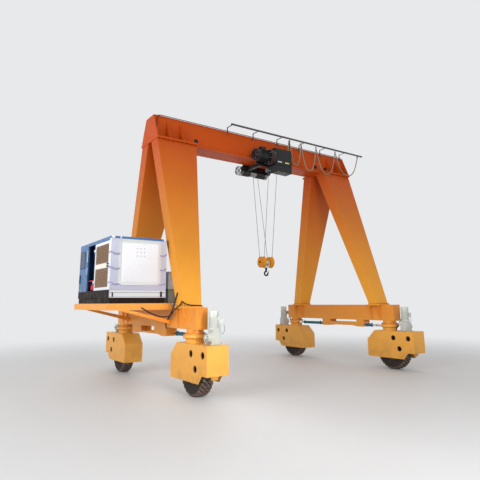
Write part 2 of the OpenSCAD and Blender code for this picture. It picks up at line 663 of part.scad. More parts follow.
// Sheave guards, with the crosshead between them and the swivel that carries the hook
module hook_guards() color("#e0b020") place() for (s = [-1, 1]) {
    rod_x(hook_x + s * sheave_x - 62, hook_x + s * sheave_x + 62, 0, block_z, guard_r);
    rod_x(hook_x + s * sheave_x - 80, hook_x + s * sheave_x + 80, 0, block_z, 70);
    for (y = [-fall_y, fall_y]) block([hook_x + s * sheave_x - 24, y - 24, block_z + 80],
        [hook_x + s * sheave_x + 24, y + 24, block_z + guard_r]);
}
module hook_block() color("#b4b8ba") place() translate([hook_x, 0, block_z]) difference() {
    union() {
        rod_x(-sheave_x + 80, sheave_x - 80, 0, 0, 60);
        for (s = [-1, 1]) along_x(s * (sheave_x - 95), 26)
            polygon([[-80, 60], [80, 60], [95, -60], [70, -185], [-70, -185], [-95, -60]]);
        block([-sheave_x + 90, -62, -185], [sheave_x - 90, 62, -115]);
    }
    translate([0, 0, -200]) cylinder(h = 100, r = 26 + run);
}
module hook() color("#303234") place() translate([hook_x, 0, block_z]) {
    bowl_z = -375;
    bowl_r = 68;
    stock_r = 27;
    translate([0, 0, -290]) cylinder(h = 195, r = 26);
    translate([0, 0, -114.7]) cylinder(h = 30, r = 44);
    translate([0, 0, -225]) cylinder(h = 39.7, r = 38);
    translate([0, 0, bowl_z + bowl_r - 20]) cylinder(h = 140, r = 34);
    translate([0, 0, bowl_z]) rotate([90, 0, 0]) {
        rotate([0, 0, 90]) rotate_extrude(angle = 265) translate([bowl_r, 0]) circle(r = stock_r);
        rotate([0, 0, -8]) translate([bowl_r, 0, 0]) rotate([-90, 0, -12])
            cylinder(h = 85, r1 = stock_r - 1, r2 = 12);
    }
}

// Cable rail beside the girder's top, on brackets, with the fixed clamp at its end
module rail_section() difference() {
    translate([-rail_y - rail_w / 2, rail_z]) square([rail_w, rail_h]);
    translate([-rail_y - rail_w / 2 + rail_wall, rail_z + rail_wall])
        square([rail_w - 2 * rail_wall, rail_h - 2 * rail_wall]);
    translate([-rail_y - 9, rail_z - 1]) square([18, rail_wall + 2]);
}
module festoon_rail() color("#3a3d3f") place() {
    along_x((rail_x0 + rail_x1) / 2, rail_x1 - rail_x0) rail_section();
    for (x = [rail_x0 + 100 : 1050 : girder_l / 2 - 80]) rail_bracket(x);
    cable_clamp(hang_x[4], rail_z);
    block([hang_x[4] - clamp_l / 2, -rail_y - 22, rail_z - 8],
        [hang_x[4] + clamp_l / 2, -rail_y + 22, rail_z + 0.5]);
}
// A strap bolted under the upper flange, which goes up past its edge and over to the rail
module rail_bracket(x) {
    strap_t = 8;
    foot_h = 70;
    flange_y = -girder_w / 2 - 20;
    top = rail_z + rail_h + 12;
    x0 = x - clamp_l / 2;
    x1 = x + clamp_l / 2;
    block([x0, -rail_y - 10, rail_z + rail_h - 1], [x1, -rail_y + 10, top]);
    block([x0, -rail_y - 10, top - strap_t], [x1, flange_y, top]);
    block([x0, flange_y - strap_t, girder_top - top_t - foot_h], [x1, flange_y, top]);
    block([x0, flange_y - strap_t, girder_top - top_t - foot_h], [x1, -girder_w / 2, girder_top - top_t]);
}
// Two jaws round the cable, joined over it and hung from above
module cable_clamp(x, top) {
    jaw_t = 8;
    jaw_y = lead_r + 5;
    x0 = x - clamp_l / 2;
    x1 = x + clamp_l / 2;
    bridge_z = hang_z + lead_r + 1;
    block([x0, -rail_y - jaw_t / 2, bridge_z - 1], [x1, -rail_y + jaw_t / 2, top]);
    for (s = [-1, 1]) block([x0, -rail_y + s * jaw_y - jaw_t / 2, hang_z - lead_r - 4],
        [x1, -rail_y + s * jaw_y + jaw_t / 2, bridge_z + 7]);
    block([x0, -rail_y - jaw_y - jaw_t / 2, bridge_z], [x1, -rail_y + jaw_y + jaw_t / 2, bridge_z + 7]);
}
// A cable carrier: runner in the rail, neck through its slot and clamp below
module carrier(i) color("#8d9192") place() {
    x = hang_x[i];
    block([x - 35, -rail_y - rail_w / 2 + rail_wall + 2, rail_z + rail_wall + seat],
        [x + 35, -rail_y + rail_w / 2 - rail_wall - 2, rail_z + rail_h - rail_wall - 3]);
    cable_clamp(x, rail_z + rail_wall + 2);
}
module festoon_carrier_inner() carrier(1);
module festoon_carrier_middle() carrier(2);
module festoon_carrier_outer() carrier(3);
// The festoon's loops: deep U shapes from hanging point to hanging point
function loop_drop(t) = 1 - pow(abs(2 * t - 1), 2.6);
function loop_point(i, t) = [hang_x[i] + t * (hang_x[i + 1] - hang_x[i]), -rail_y,
    hang_z + (loop_z[i] - hang_z) * loop_drop(t)];
lead_path = [for (i = [0 : 3], k = [0 : loop_steps - 1]) loop_point(i, k / loop_steps),
    loop_point(3, 1)];
module tube(path, r, sides) {
    n = len(path);
    function dir(i) = let (d = path[min(n - 1, i + 1)] - path[max(0, i - 1)]) d / norm(d);
    points = [for (i = [0 : n - 1])
        let (d = dir(i), a = [d[2], 0, -d[0]] / norm([d[2], 0, -d[0]]), b = cross(d, a))
        for (k = [0 : sides - 1]) path[i] + r * (cos(k * 360 / sides) * a + sin(k * 360 / sides) * b)];
    faces = concat([[for (k = [0 : sides - 1]) k]],
        [for (i = [0 : n - 2], k = [0 : sides - 1]) let (q = (k + 1) % sides)
            [i * sides + k, (i + 1) * sides + k, (i + 1) * sides + q, i * sides + q]],
        [[for (k = [sides - 1 : -1 : 0]) (n - 1) * sides + k]]);
    polyhedron(points, faces);
}
module festoon_cable() color("#a39c8c") place() tube(lead_path, lead_r, 8);

// Platform of channels, carried outside the leg frame with two struts
module generator_platform() color("#eda040") place() {
    x1 = -frame_x - sill_w / 2;
    beam = deck_beam;
    inner = x1 - 55;
    z0 = deck_top - deck_h;
    for (y = [deck_y0, deck_y1 - beam]) block([deck_out, y, z0], [x1, y + beam, deck_top]);
    for (x = [deck_out, inner - beam]) block([x, deck_y0, z0], [x + beam, deck_y1, deck_top]);
    block([(deck_out + x1) / 2 - 40, deck_y0, z0 + 30], [(deck_out + x1) / 2 + 40, deck_y1, deck_top - 10]);
    for (y = [deck_y0 + beam / 2, deck_y1 - beam / 2]) along_y(y, beam) polygon([[deck_out + 250, z0 + 5],
        [deck_out + 520, z0 + 5], [x1, sill_z + 200], [x1, sill_z + 90]]);
}
module generator_tank() color("#26282a") place()
    block([canopy_x0 + 20, canopy_y0 + 10, deck_top],
        [canopy_x0 + hood_x - 20, canopy_y0 + hood_y - 10, canopy_z]);

// Sound canopy: a hollow housing with a door opening and an open service bay on its outer side
door_y0 = canopy_y0 + 60;
door_l = 1180;
door_z0 = canopy_z + 190;
door_h = 1220;
bay_l = 590;
door_t = 40;
post_w = 50;
hinge_x = canopy_x0 - 18;
hinge_y = door_y0 + door_l + 20;
hinge_z = [door_z0 + 150, door_z0 + door_h - 250];
knuckle_r = 15;
knuckle_h = 50;
hinge_pin_r = 8;
module generator_canopy() color("#2d5a8e") place() {
    y1 = canopy_y0 + hood_y;
    difference() {
        block([canopy_x0, canopy_y0, canopy_z], [canopy_x0 + hood_x, y1, canopy_z + hood_h]);
        block([canopy_x0 + wall, canopy_y0 + wall, canopy_z + wall],
            [canopy_x0 + hood_x - wall, y1 - wall, canopy_z + hood_h - wall]);
        block([canopy_x0 - 10, door_y0, door_z0],
            [canopy_x0 + wall + 10, door_y0 + door_l, door_z0 + door_h]);
        block([canopy_x0 - 10, door_y0 + door_l + post_w, door_z0],
            [canopy_x0 + wall + 10, door_y0 + door_l + post_w + bay_l, door_z0 + door_h]);
        for (i = [0 : 7]) block([canopy_x0 - 10, y1 - 520, canopy_z + 860 + i * 55],
            [canopy_x0 + wall + 10, y1 - 120, canopy_z + 885 + i * 55]);
    }
    for (z = hinge_z) difference() {
        union() {
            translate([hinge_x, hinge_y, z]) cylinder(h = knuckle_h, r = knuckle_r);
            block([hinge_x, hinge_y - knuckle_r, z], [canopy_x0 + 5, hinge_y + knuckle_r, z + knuckle_h]);
        }
        translate([hinge_x, hinge_y, z - 1]) cylinder(h = knuckle_h + 2, r = hinge_pin_r + run);
    }
}
module generator_end_panel() color("#f2f3f4") place() {
    x0 = canopy_x0;
    x1 = canopy_x0 + hood_x;
    y = canopy_y0;
    z0 = canopy_z;
    z1 = canopy_z + hood_h;
    strap = [130, 8, 26];
    block([x0, y - 12, z0 + 130], [x1, y, z1 - 60]);
    block([x0 + 200, y - 34, z0 + 330], [x1 - 160, y - 10, z1 - 130]);
    block([x0, y - 20, z0], [x1, y, z0 + 120]);
    for (i = [0 : 2], x = [x0 + 20, x1 - 20 - strap[0]])
        translate([x, y - 18, z0 + (0.22 + 0.245 * i) * hood_h]) cube(strap);
}
module generator_engine() color("#2a2423") place() {
    side = 320;
    y = canopy_y0 + 500;
    l = hood_y - 1200;
    block_h = 0.41 * hood_h;
    block([canopy_x0 + side, y, canopy_z + wall], [canopy_x0 + hood_x - side, y + l, canopy_z + block_h]);
    block([canopy_x0 + 1.4 * side, y + 200, canopy_z + block_h - 10],
        [canopy_x0 + hood_x - 1.4 * side, y + l - 350, canopy_z + 0.65 * hood_h]);
}
// Side door with two louvre panels, latched in front and hinged on its rear edge
module generator_door() color("#efeae0") place() {
    y0 = door_y0 + 5;
    difference() {
        block([canopy_x0 - 8, y0 + 12, door_z0 + 6],
            [canopy_x0 + door_t - 14, y0 + door_l - 12, door_z0 + door_h - 6]);
        for (z = [door_z0 + 70, door_z0 + 670])
            block([canopy_x0 - 12, y0 + 70, z], [canopy_x0 + 2, y0 + door_l - 80, z + 480]);
    }
    for (z = [door_z0 + 560, door_z0 + 620])
        block([canopy_x0 - 30, y0 + 40, z], [canopy_x0 - 7, y0 + 130, z + 34]);
    for (z = hinge_z) {
        low = z + knuckle_h + seat;
        translate([hinge_x, hinge_y, low]) cylinder(h = knuckle_h, r = knuckle_r);
        translate([hinge_x, hinge_y, z + 5]) cylinder(h = knuckle_h + 10, r = hinge_pin_r);
        block([hinge_x - 4, hinge_y - 100, low], [canopy_x0 - 3, hinge_y, low + knuckle_h]);
    }
}
module power_cabinet() color("#9aa0a2") place()
    block([-frame_x - sill_w / 2 - 50, deck_y0 + deck_beam + 5, sill_top],
        [-frame_x + 160, deck_y0 + deck_beam + 425, sill_top + 930]);

main_girder();
head_plates();
leg_left_front();
leg_left_rear();
leg_right_front();
leg_right_rear();
sill_left();
sill_right();
festoon_rail();
generator_platform();
generator_tank();
generator_canopy();
generator_end_panel();
generator_engine();
generator_door();
power_cabinet();
hood_left_front();
hood_left_rear();
hood_right_front();
hood_right_rear();
gearmotor_left_front();
gearmotor_left_rear();
gearmotor_right_front();
gearmotor_right_rear();
rim_left_front();
rim_left_rear();
rim_right_front();
rim_right_rear();
tyre_left_front();
tyre_left_rear();
tyre_right_front();
tyre_right_rear();
barrel_left_front();
barrel_left_rear();
barrel_right_front();
barrel_right_rear();
rod_left_front();
rod_left_rear();
rod_right_front();
rod_right_rear();
trolley_frame();
trolley_wheels_front();
trolley_wheels_rear();
hoist_motor();
hoist_cabinet();
hoist_drum();
return_sheave();
hoist_ropes();
hook_block();
hook_guards();
hook();
festoon_carrier_inner();
festoon_carrier_middle();
festoon_carrier_outer();
festoon_cable();
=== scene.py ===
"""Looks of a rubber tyred gantry crane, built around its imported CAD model."""
import json
from itertools import product
from math import cos, pi, radians, sin, sqrt

import bmesh
import bpy
from mathutils import Matrix, Vector


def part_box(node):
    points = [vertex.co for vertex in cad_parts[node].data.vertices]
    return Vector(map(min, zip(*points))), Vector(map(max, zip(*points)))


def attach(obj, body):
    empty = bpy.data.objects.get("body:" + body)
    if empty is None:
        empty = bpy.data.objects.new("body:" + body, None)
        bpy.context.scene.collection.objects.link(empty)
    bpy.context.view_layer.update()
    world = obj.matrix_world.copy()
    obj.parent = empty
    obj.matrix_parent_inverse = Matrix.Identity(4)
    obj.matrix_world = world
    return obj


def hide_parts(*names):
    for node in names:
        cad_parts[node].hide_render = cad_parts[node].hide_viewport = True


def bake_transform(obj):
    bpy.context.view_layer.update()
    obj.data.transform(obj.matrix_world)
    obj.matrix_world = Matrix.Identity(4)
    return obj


CORNERS = [(side + "_" + end, sx, sy) for side, sx in (("left", -1), ("right", 1))
           for end, sy in (("front", -1), ("rear", 1))]

# Camera, fitted to the photograph in perspective
EYE = (-8.7005, -12.226, 2.14)
YAW, PITCH, ROLL = 34.364, 11.098, -0.446
SENSOR, LENS, SHIFT_Y = 36.0, 33.95, -0.0552

# Directions in the row frame
UP, DOWN, FRONT, LEFT, RIGHT = (0, 0, 1), (0, 0, -1), (0, -1, 0), (-1, 0, 0), (1, 0, 0)

# Leg feet, head flanges and the girder's web, in metres
FOOT_X, FOOT_Y, FOOT_W, FOOT_D = 3.617, 1.929, 0.5, 0.386
FOOT_LIP_X, FOOT_LIP_Y, FOOT_TOP = 0.03, 0.045, 2.054
HEAD_IN, HEAD_OUT, HEAD_HALF, HEAD_UNDER, HEAD_TOP = 2.692, 4.017, 0.617, 6.872, 6.928
WEB_HALF, WEB_HIGH = 0.26, 7.67
WEB_HOLE_X, WEB_HOLE_Z, WEB_HOLE_R = (2.56, 3.07), 7.123, 0.0595

# Bogies, measured outwards from the steering pivot, and the travel drives on them
HOOD_TOP, HOOD_OUT, HOOD_IN, HOOD_HALF = 1.2, 1.047, -0.72, 0.282
HOOD_HOLES, HOOD_HOLE_R = ((0.318, 0.99), (0.863, 0.99), (0.523, 0.668)), 0.062
EDGING, EDGING_T = 0.017, 0.0015
DRIVE_X, DRIVE_Y = 3.535, 3.0

# Hoist, its wound rope and its four falls of laid rope, in the crane's own X
HOOK_X, SHEAVE_X, MOTOR_AXIS = 0.325, 0.165, (-0.671, 6.96)
ROPE_R, WOUND_R, ROPE_PITCH, TURN_STEPS = 0.007, 0.157, 0.0155, 28
STRANDS, STRAND_R, ROPE_LAY, ROPE_STEP = 6, 0.0026, 0.11, 0.014

# Festoon: the rail, the cable's hanging points and the lowest point of each loop
RAIL_Y, RAIL_TOP = -0.68, 7.825
HANG_X, HANG_Z = (0.95, 1.49, 2.22, 3.21, 4.45), 7.72
LOOP_Z, LOOP_STEPS, LOOP_POWER = (6.88, 6.77, 6.78, 6.9), 24, 2.6

# Generator canopy, its padded end panel, its door and its open bay
CANOPY_X, CANOPY_Y, CANOPY_Z = (-5.46, -3.98), (-1.3, 1.4), (2.274, 3.784)
PAD_X, PAD_Z, PAD_FRONT = (-5.19, -4.2), (2.64, 3.64), -1.334
PAD_EDGE, PAD_BULGE, PAD_POINTS = 0.022, 0.014, 31
PANEL_Y, DOOR_FACE = -1.312, -5.468
LOUVRE_Y, LOUVRE_Z, LOUVRE_H = (-1.165, -0.135), (2.534, 3.134), 0.48
BAY_Y, BAY_Z = (-0.01, 0.58), (2.464, 3.684)
REAR_LOUVRE_Y, REAR_LOUVRE_Z = (0.88, 1.28), 3.134
STRIP_Z = ((2.93, 3.12), (3.275, 3.583))

# Tyre, its tread blocks and the circle of the wheel's nuts
TYRE_R, RIM_R, NUT_CIRCLE_R = 0.56, 0.268, 0.108
TREAD_DEPTH, TREAD_PITCHES, TREAD_SHARE, TREAD_SLANT = 0.017, 30, 0.7, 1.0
BLOCK_STEPS, BLOCK_INSET = 3, 0.012

# Radii of the cables, hoses and straps
EDGE_CABLE_R, LEG_CABLE_R, SILL_CABLE_R, THIN_CABLE_R = 0.012, 0.017, 0.016, 0.009
DRIVE_CABLE_R, CONDUIT_R, FESTOON_R, HOSE_R, STRAP_R = 0.01, 0.0055, 0.018, 0.012, 0.009

# Bolt heads and nuts: radius and height
HEAD_BOLT, FOOT_BOLT, FOOT_END_BOLT = (0.015, 0.018), (0.012, 0.018), (0.01, 0.016)
WHEEL_NUT, RING_BOLT, RING_NUT = (0.014, 0.02), (0.0095, 0.012), (0.008, 0.01)
DRIVE_FOOT_BOLT, AXLE_FLANGE_BOLT, MOTOR_BOLT = (0.01, 0.014), (0.009, 0.01), (0.007, 0.009)
SCRAPER_BOLT, BOX_SCREW, SCREW = (0.008, 0.009), (0.006, 0.006), (0.008, 0.006)
GEAR_BOLT, MOTOR_END_BOLT, DOOR_SCREW = (0.012, 0.012), (0.01, 0.012), (0.01, 0.008)
GUARD_BOLT, AXLE_NUT = (0.01, 0.01), (0.03, 0.02)

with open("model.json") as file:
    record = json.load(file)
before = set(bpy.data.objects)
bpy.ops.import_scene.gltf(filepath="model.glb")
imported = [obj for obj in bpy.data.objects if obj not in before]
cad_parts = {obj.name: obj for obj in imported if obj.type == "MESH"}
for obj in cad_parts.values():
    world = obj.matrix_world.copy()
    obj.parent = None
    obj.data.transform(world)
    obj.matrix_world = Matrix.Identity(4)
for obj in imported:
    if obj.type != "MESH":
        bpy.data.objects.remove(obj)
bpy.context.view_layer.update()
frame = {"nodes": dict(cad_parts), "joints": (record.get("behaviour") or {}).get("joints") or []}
PIVOTS = {j["name"]: j["pos_m"] for j in frame["joints"] if "pos_m" in j}
MID_X = (PIVOTS["steer_left_front"][0] + PIVOTS["steer_right_front"][0]) / 2


def at(x, y, z):
    """A point given from mid span, in the row frame."""
    return Vector((x + MID_X, y, z))


def linear(*srgb):
    """A colour given as sRGB, 0 to 255, as Blender's linear values."""
    parts = [c / 255 for c in srgb]
    return (*[c / 12.92 if c <= 0.04045 else ((c + 0.055) / 1.055) ** 2.4 for c in parts], 1.0)


# Materials. Colours are sRGB, 0 to 255. A row may stop early, and its function's defaults follow.

RUST, DUST, STAIN = (92, 56, 32), (120, 98, 72), (88, 72, 58)
HORIZON = linear(232, 233, 235)
COAT_ROUGH = 0.25
EVEN = (1.0, 1.0, 1.0)

# Name, colour low down, colour high up, the two heights, dust, wear, roughness, coat, shine
ENAMELS = {
    # The five orange rows are lit and shaded copies of one orange paint, as painted light and
    # shade: amber on the hoods, sills and platform and low on the legs, deep orange-red high on the
    # legs and on the girder.
    "girder": ("orange_paint_girder", (188, 74, 8), (180, 70, 8),
               6.8, 7.8, 0.1, 1.0, 0.42, 0.0, 0.16),
    "leg": ("orange_paint_leg", (240, 172, 58), (180, 62, 4), 0.2, 8.0, 0.2, 1.0, 0.42, 0.0, 0.2),
    "sill": ("orange_paint_sill", (226, 150, 54), (222, 138, 48), 1.2, 2.1, 0.3),
    "hood": ("orange_paint_hood", (222, 158, 64), (228, 164, 70), 0.4, 1.3, 0.3),
    "platform": ("orange_paint_platform", (230, 136, 30), (234, 156, 62), 1.6, 2.1, 0.3),
    "drive": ("grey_paint_drive", (186, 190, 184), (204, 208, 200), 1.2, 2.0, 0.6, 1.0, 0.38),
    "rim": ("rim_paint", (104, 106, 104), (120, 122, 120), 0.2, 0.9, 0.9, 1.0, 0.6, 0.0),
    "black": ("black_paint", (14, 14, 15), (18, 18, 19), 1.0, 7.0, 0.15, 0.3, 0.4, 0.1),
    "teal": ("teal_paint", (20, 92, 108), (24, 100, 116), 1.0, 7.0, 0.25, 0.6, 0.4, 0.1),
    "blue": ("blue_paint", (54, 98, 146), (60, 108, 162), 2.3, 3.8, 0.2, 0.7, 0.36, 0.2),
    "white": ("white_paint", (216, 217, 222), (236, 237, 242), 2.3, 3.8, 0.05, 0.25, 0.34, 0.2),
    # The cabinet's grey and its lower box's grey-green are set paler than their own colours, to
    # lift the shade the leg and canopy cast on the cabinet: partly painted light.
    "cabinet": ("grey_paint_cabinet", (222, 228, 230), (228, 234, 236), 2.0, 3.0, 0.2, 0.5),
    "olive": ("grey_green_paint", (140, 148, 142), (146, 154, 148), 2.0, 3.0, 0.3, 0.5),
    "yellow": ("yellow_paint", (222, 142, 8), (228, 150, 12), 3.0, 4.0, 0.2, 0.6),
    "label": ("label_yellow", (216, 206, 110), (216, 206, 110), 3.0, 4.0, 0.1, 0.2),
    "plate": ("blank_plate", (206, 208, 206), (206, 208, 206), 6.0, 8.0, 0.1, 0.3),
    "red": ("red_paint", (196, 22, 30), (204, 26, 34), 2.0, 4.0, 0.1, 0.4),
    "maroon": ("maroon_paint", (40, 18, 18), (44, 20, 20), 6.0, 8.0, 0.2, 0.4),
    "skid": ("black_paint_skid", (24, 15, 10), (28, 18, 12), 2.0, 2.4, 0.3, 0.5, 0.5, 0.0, 0.1),
    # The lilac shade is the canopy end's white sheet coloured as painted shadow, for the bands
    # round its pad.
    "shade": ("lilac_sheet", (176, 178, 198), (196, 198, 216), 2.3, 3.8, 0.05, 0.3, 0.36, 0.1),
    "louvre": ("brown_louvre", (132, 104, 78), (140, 112, 84), 2.4, 3.8, 0.3, 1.0, 0.5, 0.0),
    "cream": ("cream_paint", (230, 222, 206), (236, 230, 214), 2.4, 3.8, 0.2, 0.4, 0.4, 0.1),
}
# Name, colour, roughness, stretch of the grain, stain, metallic
METALS = {
    "chrome": ("rod_chrome", (222, 226, 230), 0.12, EVEN, 0.1),
    "steel": ("bright_steel", (196, 200, 202), 0.32, (1.0, 1.0, 6.0)),
    "rail": ("rail_steel", (104, 106, 106), 0.48, (0.2, 6.0, 6.0)),
    # Bolt heads and nuts are dark red-brown to copy the dark gaps round the painted bolts: painted
    # shade.
    "bolt": ("bolt_steel", (78, 44, 26), 0.5, EVEN, 0.7, 0.4),
    "rope": ("rope_steel", (84, 86, 88), 0.5, (8.0, 8.0, 0.6), 0.5),
    "engine": ("engine_black", (52, 48, 46), 0.55, EVEN, 0.6, 0.3),
    "forged": ("hook_iron", (44, 44, 46), 0.45, EVEN, 0.5, 0.5),
}
# Name, colour, colour of the dust on it, share of dust, scale of its patches
RUBBERS = {
    "tyre": ("tyre_rubber", (27, 18, 13), (54, 39, 30), 0.5, 3.0),
    "tread": ("tyre_tread", (90, 74, 64), (120, 102, 90), 0.7, 10.0),
    "cable": ("cable_rubber", (138, 122, 102), (112, 98, 82), 0.4, 6.0),
    "hose": ("hose_black", (44, 20, 12), (84, 46, 30), 0.3, 9.0),
    "dark": ("black_gasket", (12, 11, 11), (30, 26, 24), 0.3),
    "strap": ("strap_lilac", (160, 158, 190), (130, 126, 150), 0.3),
}
# The material of each CAD node, by the longest start of its name
PAINT = {
    "main_girder": "girder", "head_plates": "girder", "leg_": "leg", "sill_": "sill",
    "hood_": "hood", "gearmotor_": "drive", "rim_": "rim", "tyre_": "tyre", "barrel_": "teal",
    "rod_": "chrome", "trolley_frame": "black", "trolley_wheels_": "steel",
    "hoist_motor": "black", "hoist_cabinet": "black", "hoist_drum": "steel",
    "return_sheave": "steel", "hoist_ropes": "rope", "hook_block": "plate",
    "hook_guards": "yellow", "hook": "forged", "festoon_rail": "rail", "festoon_cable": "cable",
    "festoon_carrier_": "steel", "generator_platform": "platform", "generator_tank": "skid",
    "generator_canopy": "blue", "generator_end_panel": "plate", "generator_engine": "engine",
    "generator_door": "white", "power_cabinet": "cabinet",
}


def feed(tree, sockets, values):
    """Sets each socket, or links it where its value is another node's output."""
    for key, value in values.items():
        if isinstance(value, bpy.types.NodeSocket):
            tree.links.new(value, sockets[key])
        else:
            sockets[key].default_value = value


def add_node(tree, kind, values, out=0, **settings):
    """Adds a shader node, feeds its inputs and returns one of its outputs."""
    node = tree.nodes.new("ShaderNode" + kind)
    for key, value in settings.items():
        setattr(node, key, value)
    feed(tree, node.inputs, values)
    return node.outputs[out]


class Nodes:
    """One material and the shader nodes that make it."""

    def __init__(self, name):
        self.material = bpy.data.materials.new(name)
        self.material.use_nodes = True
        self.tree = self.material.node_tree
        self.shader = self.tree.nodes["Principled BSDF"]
        self.place = self.add("TexCoord", {}, "Object")

    def add(self, kind, values, out=0, **settings):
        return add_node(self.tree, kind, values, out, **settings)

    def noise(self, scale, detail=4.0, rough=0.55, stretch=None):
        place = self.place
        if stretch:
            place = self.add("Mapping", {"Vector": place, "Scale": stretch})
        values = {"Vector": place, "Scale": scale, "Detail": detail, "Roughness": rough}
        return self.add("TexNoise", values, "Fac")

    def span(self, value, low, high, to_low=0.0, to_high=1.0):
        """Eases from to_low to to_high while the value goes from low to high."""
        values = {"Value": value, "From Min": low, "From Max": high, "To Min": to_low,
                  "To Max": to_high}
        return self.add("MapRange", values, "Result", interpolation_type="SMOOTHSTEP")

    def height(self, low, high):
        return self.span(self.add("SeparateXYZ", {"Vector": self.place}, "Z"), low, high)

    def times(self, a, b):
        return self.add("Math", {0: a, 1: b}, operation="MULTIPLY")

    def mix(self, share, a, b):
        return self.add("Mix", {"Factor": share, 6: a, 7: b}, 2, data_type="RGBA")

    def bump(self, *heights):
        """Chains bumps, each a height output with its distance in metres."""
        normal = {}
        for value, distance in heights:
            values = {"Strength": 1.0, "Distance": distance, "Height": value, **normal}
            normal = {"Normal": self.add("Bump", values)}
        feed(self.tree, self.shader.inputs, normal)

    def finish(self, colour, rough, metallic=0.0, coat=0.0, shine=0.5):
        feed(self.tree, self.shader.inputs, {
            "Base Color": colour, "Roughness": rough, "Metallic": metallic, "Coat Weight": coat,
            "Coat Roughness": COAT_ROUGH, "Specular IOR Level": shine})
        return self.material


def scaled(colour, share):
    return (*[c * share for c in colour[:3]], 1.0)


def enamel(name, low, high, z_low, z_high, dust, wear=1.0, rough=0.42, coat=0.05, shine=0.32):
    """Enamel fading with height (painted light and shade), uneven spray, runs, rust specks, dust
    near the ground.
    """
    n = Nodes(name)
    low, high = linear(*low), linear(*high)
    # The fade from the colour low down to the colour high up is painted light and shade.
    rise = n.height(z_low, z_high)
    broad = n.span(n.noise(0.7, 5.0), 0.38, 0.66)
    base = n.mix(n.times(broad, 0.22 * wear), n.mix(rise, low, high),
                 n.mix(rise, scaled(low, 0.78), scaled(high, 0.78)))
    runs = n.span(n.noise(1.0, 6.0, 0.6, (9.0, 9.0, 0.5)), 0.6, 0.8)
    base = n.mix(n.times(runs, 0.16 * wear), base, scaled(low, 0.55))
    specks = n.span(n.noise(55.0, 3.0), 0.7, 0.76)
    base = n.mix(n.times(specks, 0.4 * wear), base, linear(*RUST))
    grime = n.times(n.span(n.noise(3.2, 6.0), 0.4, 0.68), dust)
    low_down = n.span(n.height(0.25, 1.15), 0.0, 1.0, 1.0, 0.12)
    base = n.mix(n.times(grime, low_down), base, linear(*DUST))
    roughness = n.span(n.noise(9.0, 5.0), 0.3, 0.7, rough - 0.1, rough + 0.14)
    n.bump((n.noise(1.6, 2.0), 0.01), (n.noise(210.0, 2.0), 0.0006))
    return n.finish(base, roughness, coat=coat, shine=shine)


def metal(name, colour, rough, grain, stain=0.4, metallic=1.0):
    """Bare or plated metal with a drawn grain and dull stains."""
    n = Nodes(name)
    colour = linear(*colour)
    streaks = n.noise(60.0, 4.0, 0.6, grain)
    base = n.mix(n.times(n.span(streaks, 0.3, 0.7), 0.35), colour, scaled(colour, 0.72))
    stains = n.span(n.noise(7.0, 6.0, 0.65), 0.52, 0.72)
    base = n.mix(n.times(stains, stain), base, linear(*STAIN))
    roughness = n.span(n.noise(18.0, 5.0), 0.3, 0.7, rough - 0.08, rough + 0.18)
    n.bump((streaks, 0.0008))
    return n.finish(base, roughness, metallic)


def rubber(name, colour, dusty, share, scale=14.0):
    """Moulded rubber or plastic sheathing with dust lying on it."""
    n = Nodes(name)
    cover = n.times(n.span(n.noise(scale, 7.0, 0.65), 0.4, 0.66), share)
    roughness = n.span(n.noise(25.0, 4.0), 0.3, 0.7, 0.62, 0.88)
    n.bump((n.noise(120.0, 4.0), 0.0012))
    return n.finish(n.mix(cover, linear(*colour), linear(*dusty)), roughness)


def perforated(name, colour, holes):
    """Fine punched metal sheet: small holes in rows, painted dark as the shade behind them."""
    n = Nodes(name)
    colour = linear(*colour)
    away = n.add("TexVoronoi", {"Vector": n.place, "Scale": 75.0, "Randomness": 0.0}, "Distance")
    hole = n.span(away, 0.3, 0.42, 1.0, 0.0)
    dirt = n.span(n.noise(4.0, 6.0), 0.35, 0.7)
    base = n.mix(n.times(dirt, 0.5), colour, scaled(colour, 0.66))
    # Each hole is given the dark colour: painted shade of the space behind the sheet.
    base = n.mix(n.times(hole, 0.8), base, linear(*holes))
    n.bump((n.span(hole, 0.0, 1.0, 1.0, 0.0), 0.002))
    return n.finish(base, n.span(n.noise(20.0), 0.3, 0.7, 0.55, 0.8), 0.3)


MATERIALS = {"mesh": perforated("brown_mesh", (128, 98, 72), (62, 46, 34))}
for make, table in ((enamel, ENAMELS), (metal, METALS), (rubber, RUBBERS)):
    MATERIALS.update({key: make(*row) for key, row in table.items()})


def paint_nodes():
    """Gives every carried-over CAD node its material."""
    for name, obj in frame["nodes"].items():
        start = max((start for start in PAINT if name.startswith(start)), key=len)
        material, slots = MATERIALS[PAINT[start]], obj.data.materials
        for i in range(len(slots)):
            slots[i] = material
        if not slots:
            slots.append(material)


# Mesh building

def quads(rows, columns, close_rows=False, close_columns=False):
    """The faces of a grid of points, closed on itself along its rows, its columns or both."""
    return [(i * columns + k, i * columns + (k + 1) % columns,
             (i + 1) % rows * columns + (k + 1) % columns, (i + 1) % rows * columns + k)
            for i in range(rows - (not close_rows)) for k in range(columns - (not close_columns))]


def circle(steps, start=0.0):
    """Equal angles round a full turn."""
    return [2 * pi * k / steps + start for k in range(steps)]


def spread(low, high, count):
    """Evenly spaced places from low to high."""
    return [low + (high - low) * k / (count - 1) for k in range(count)]


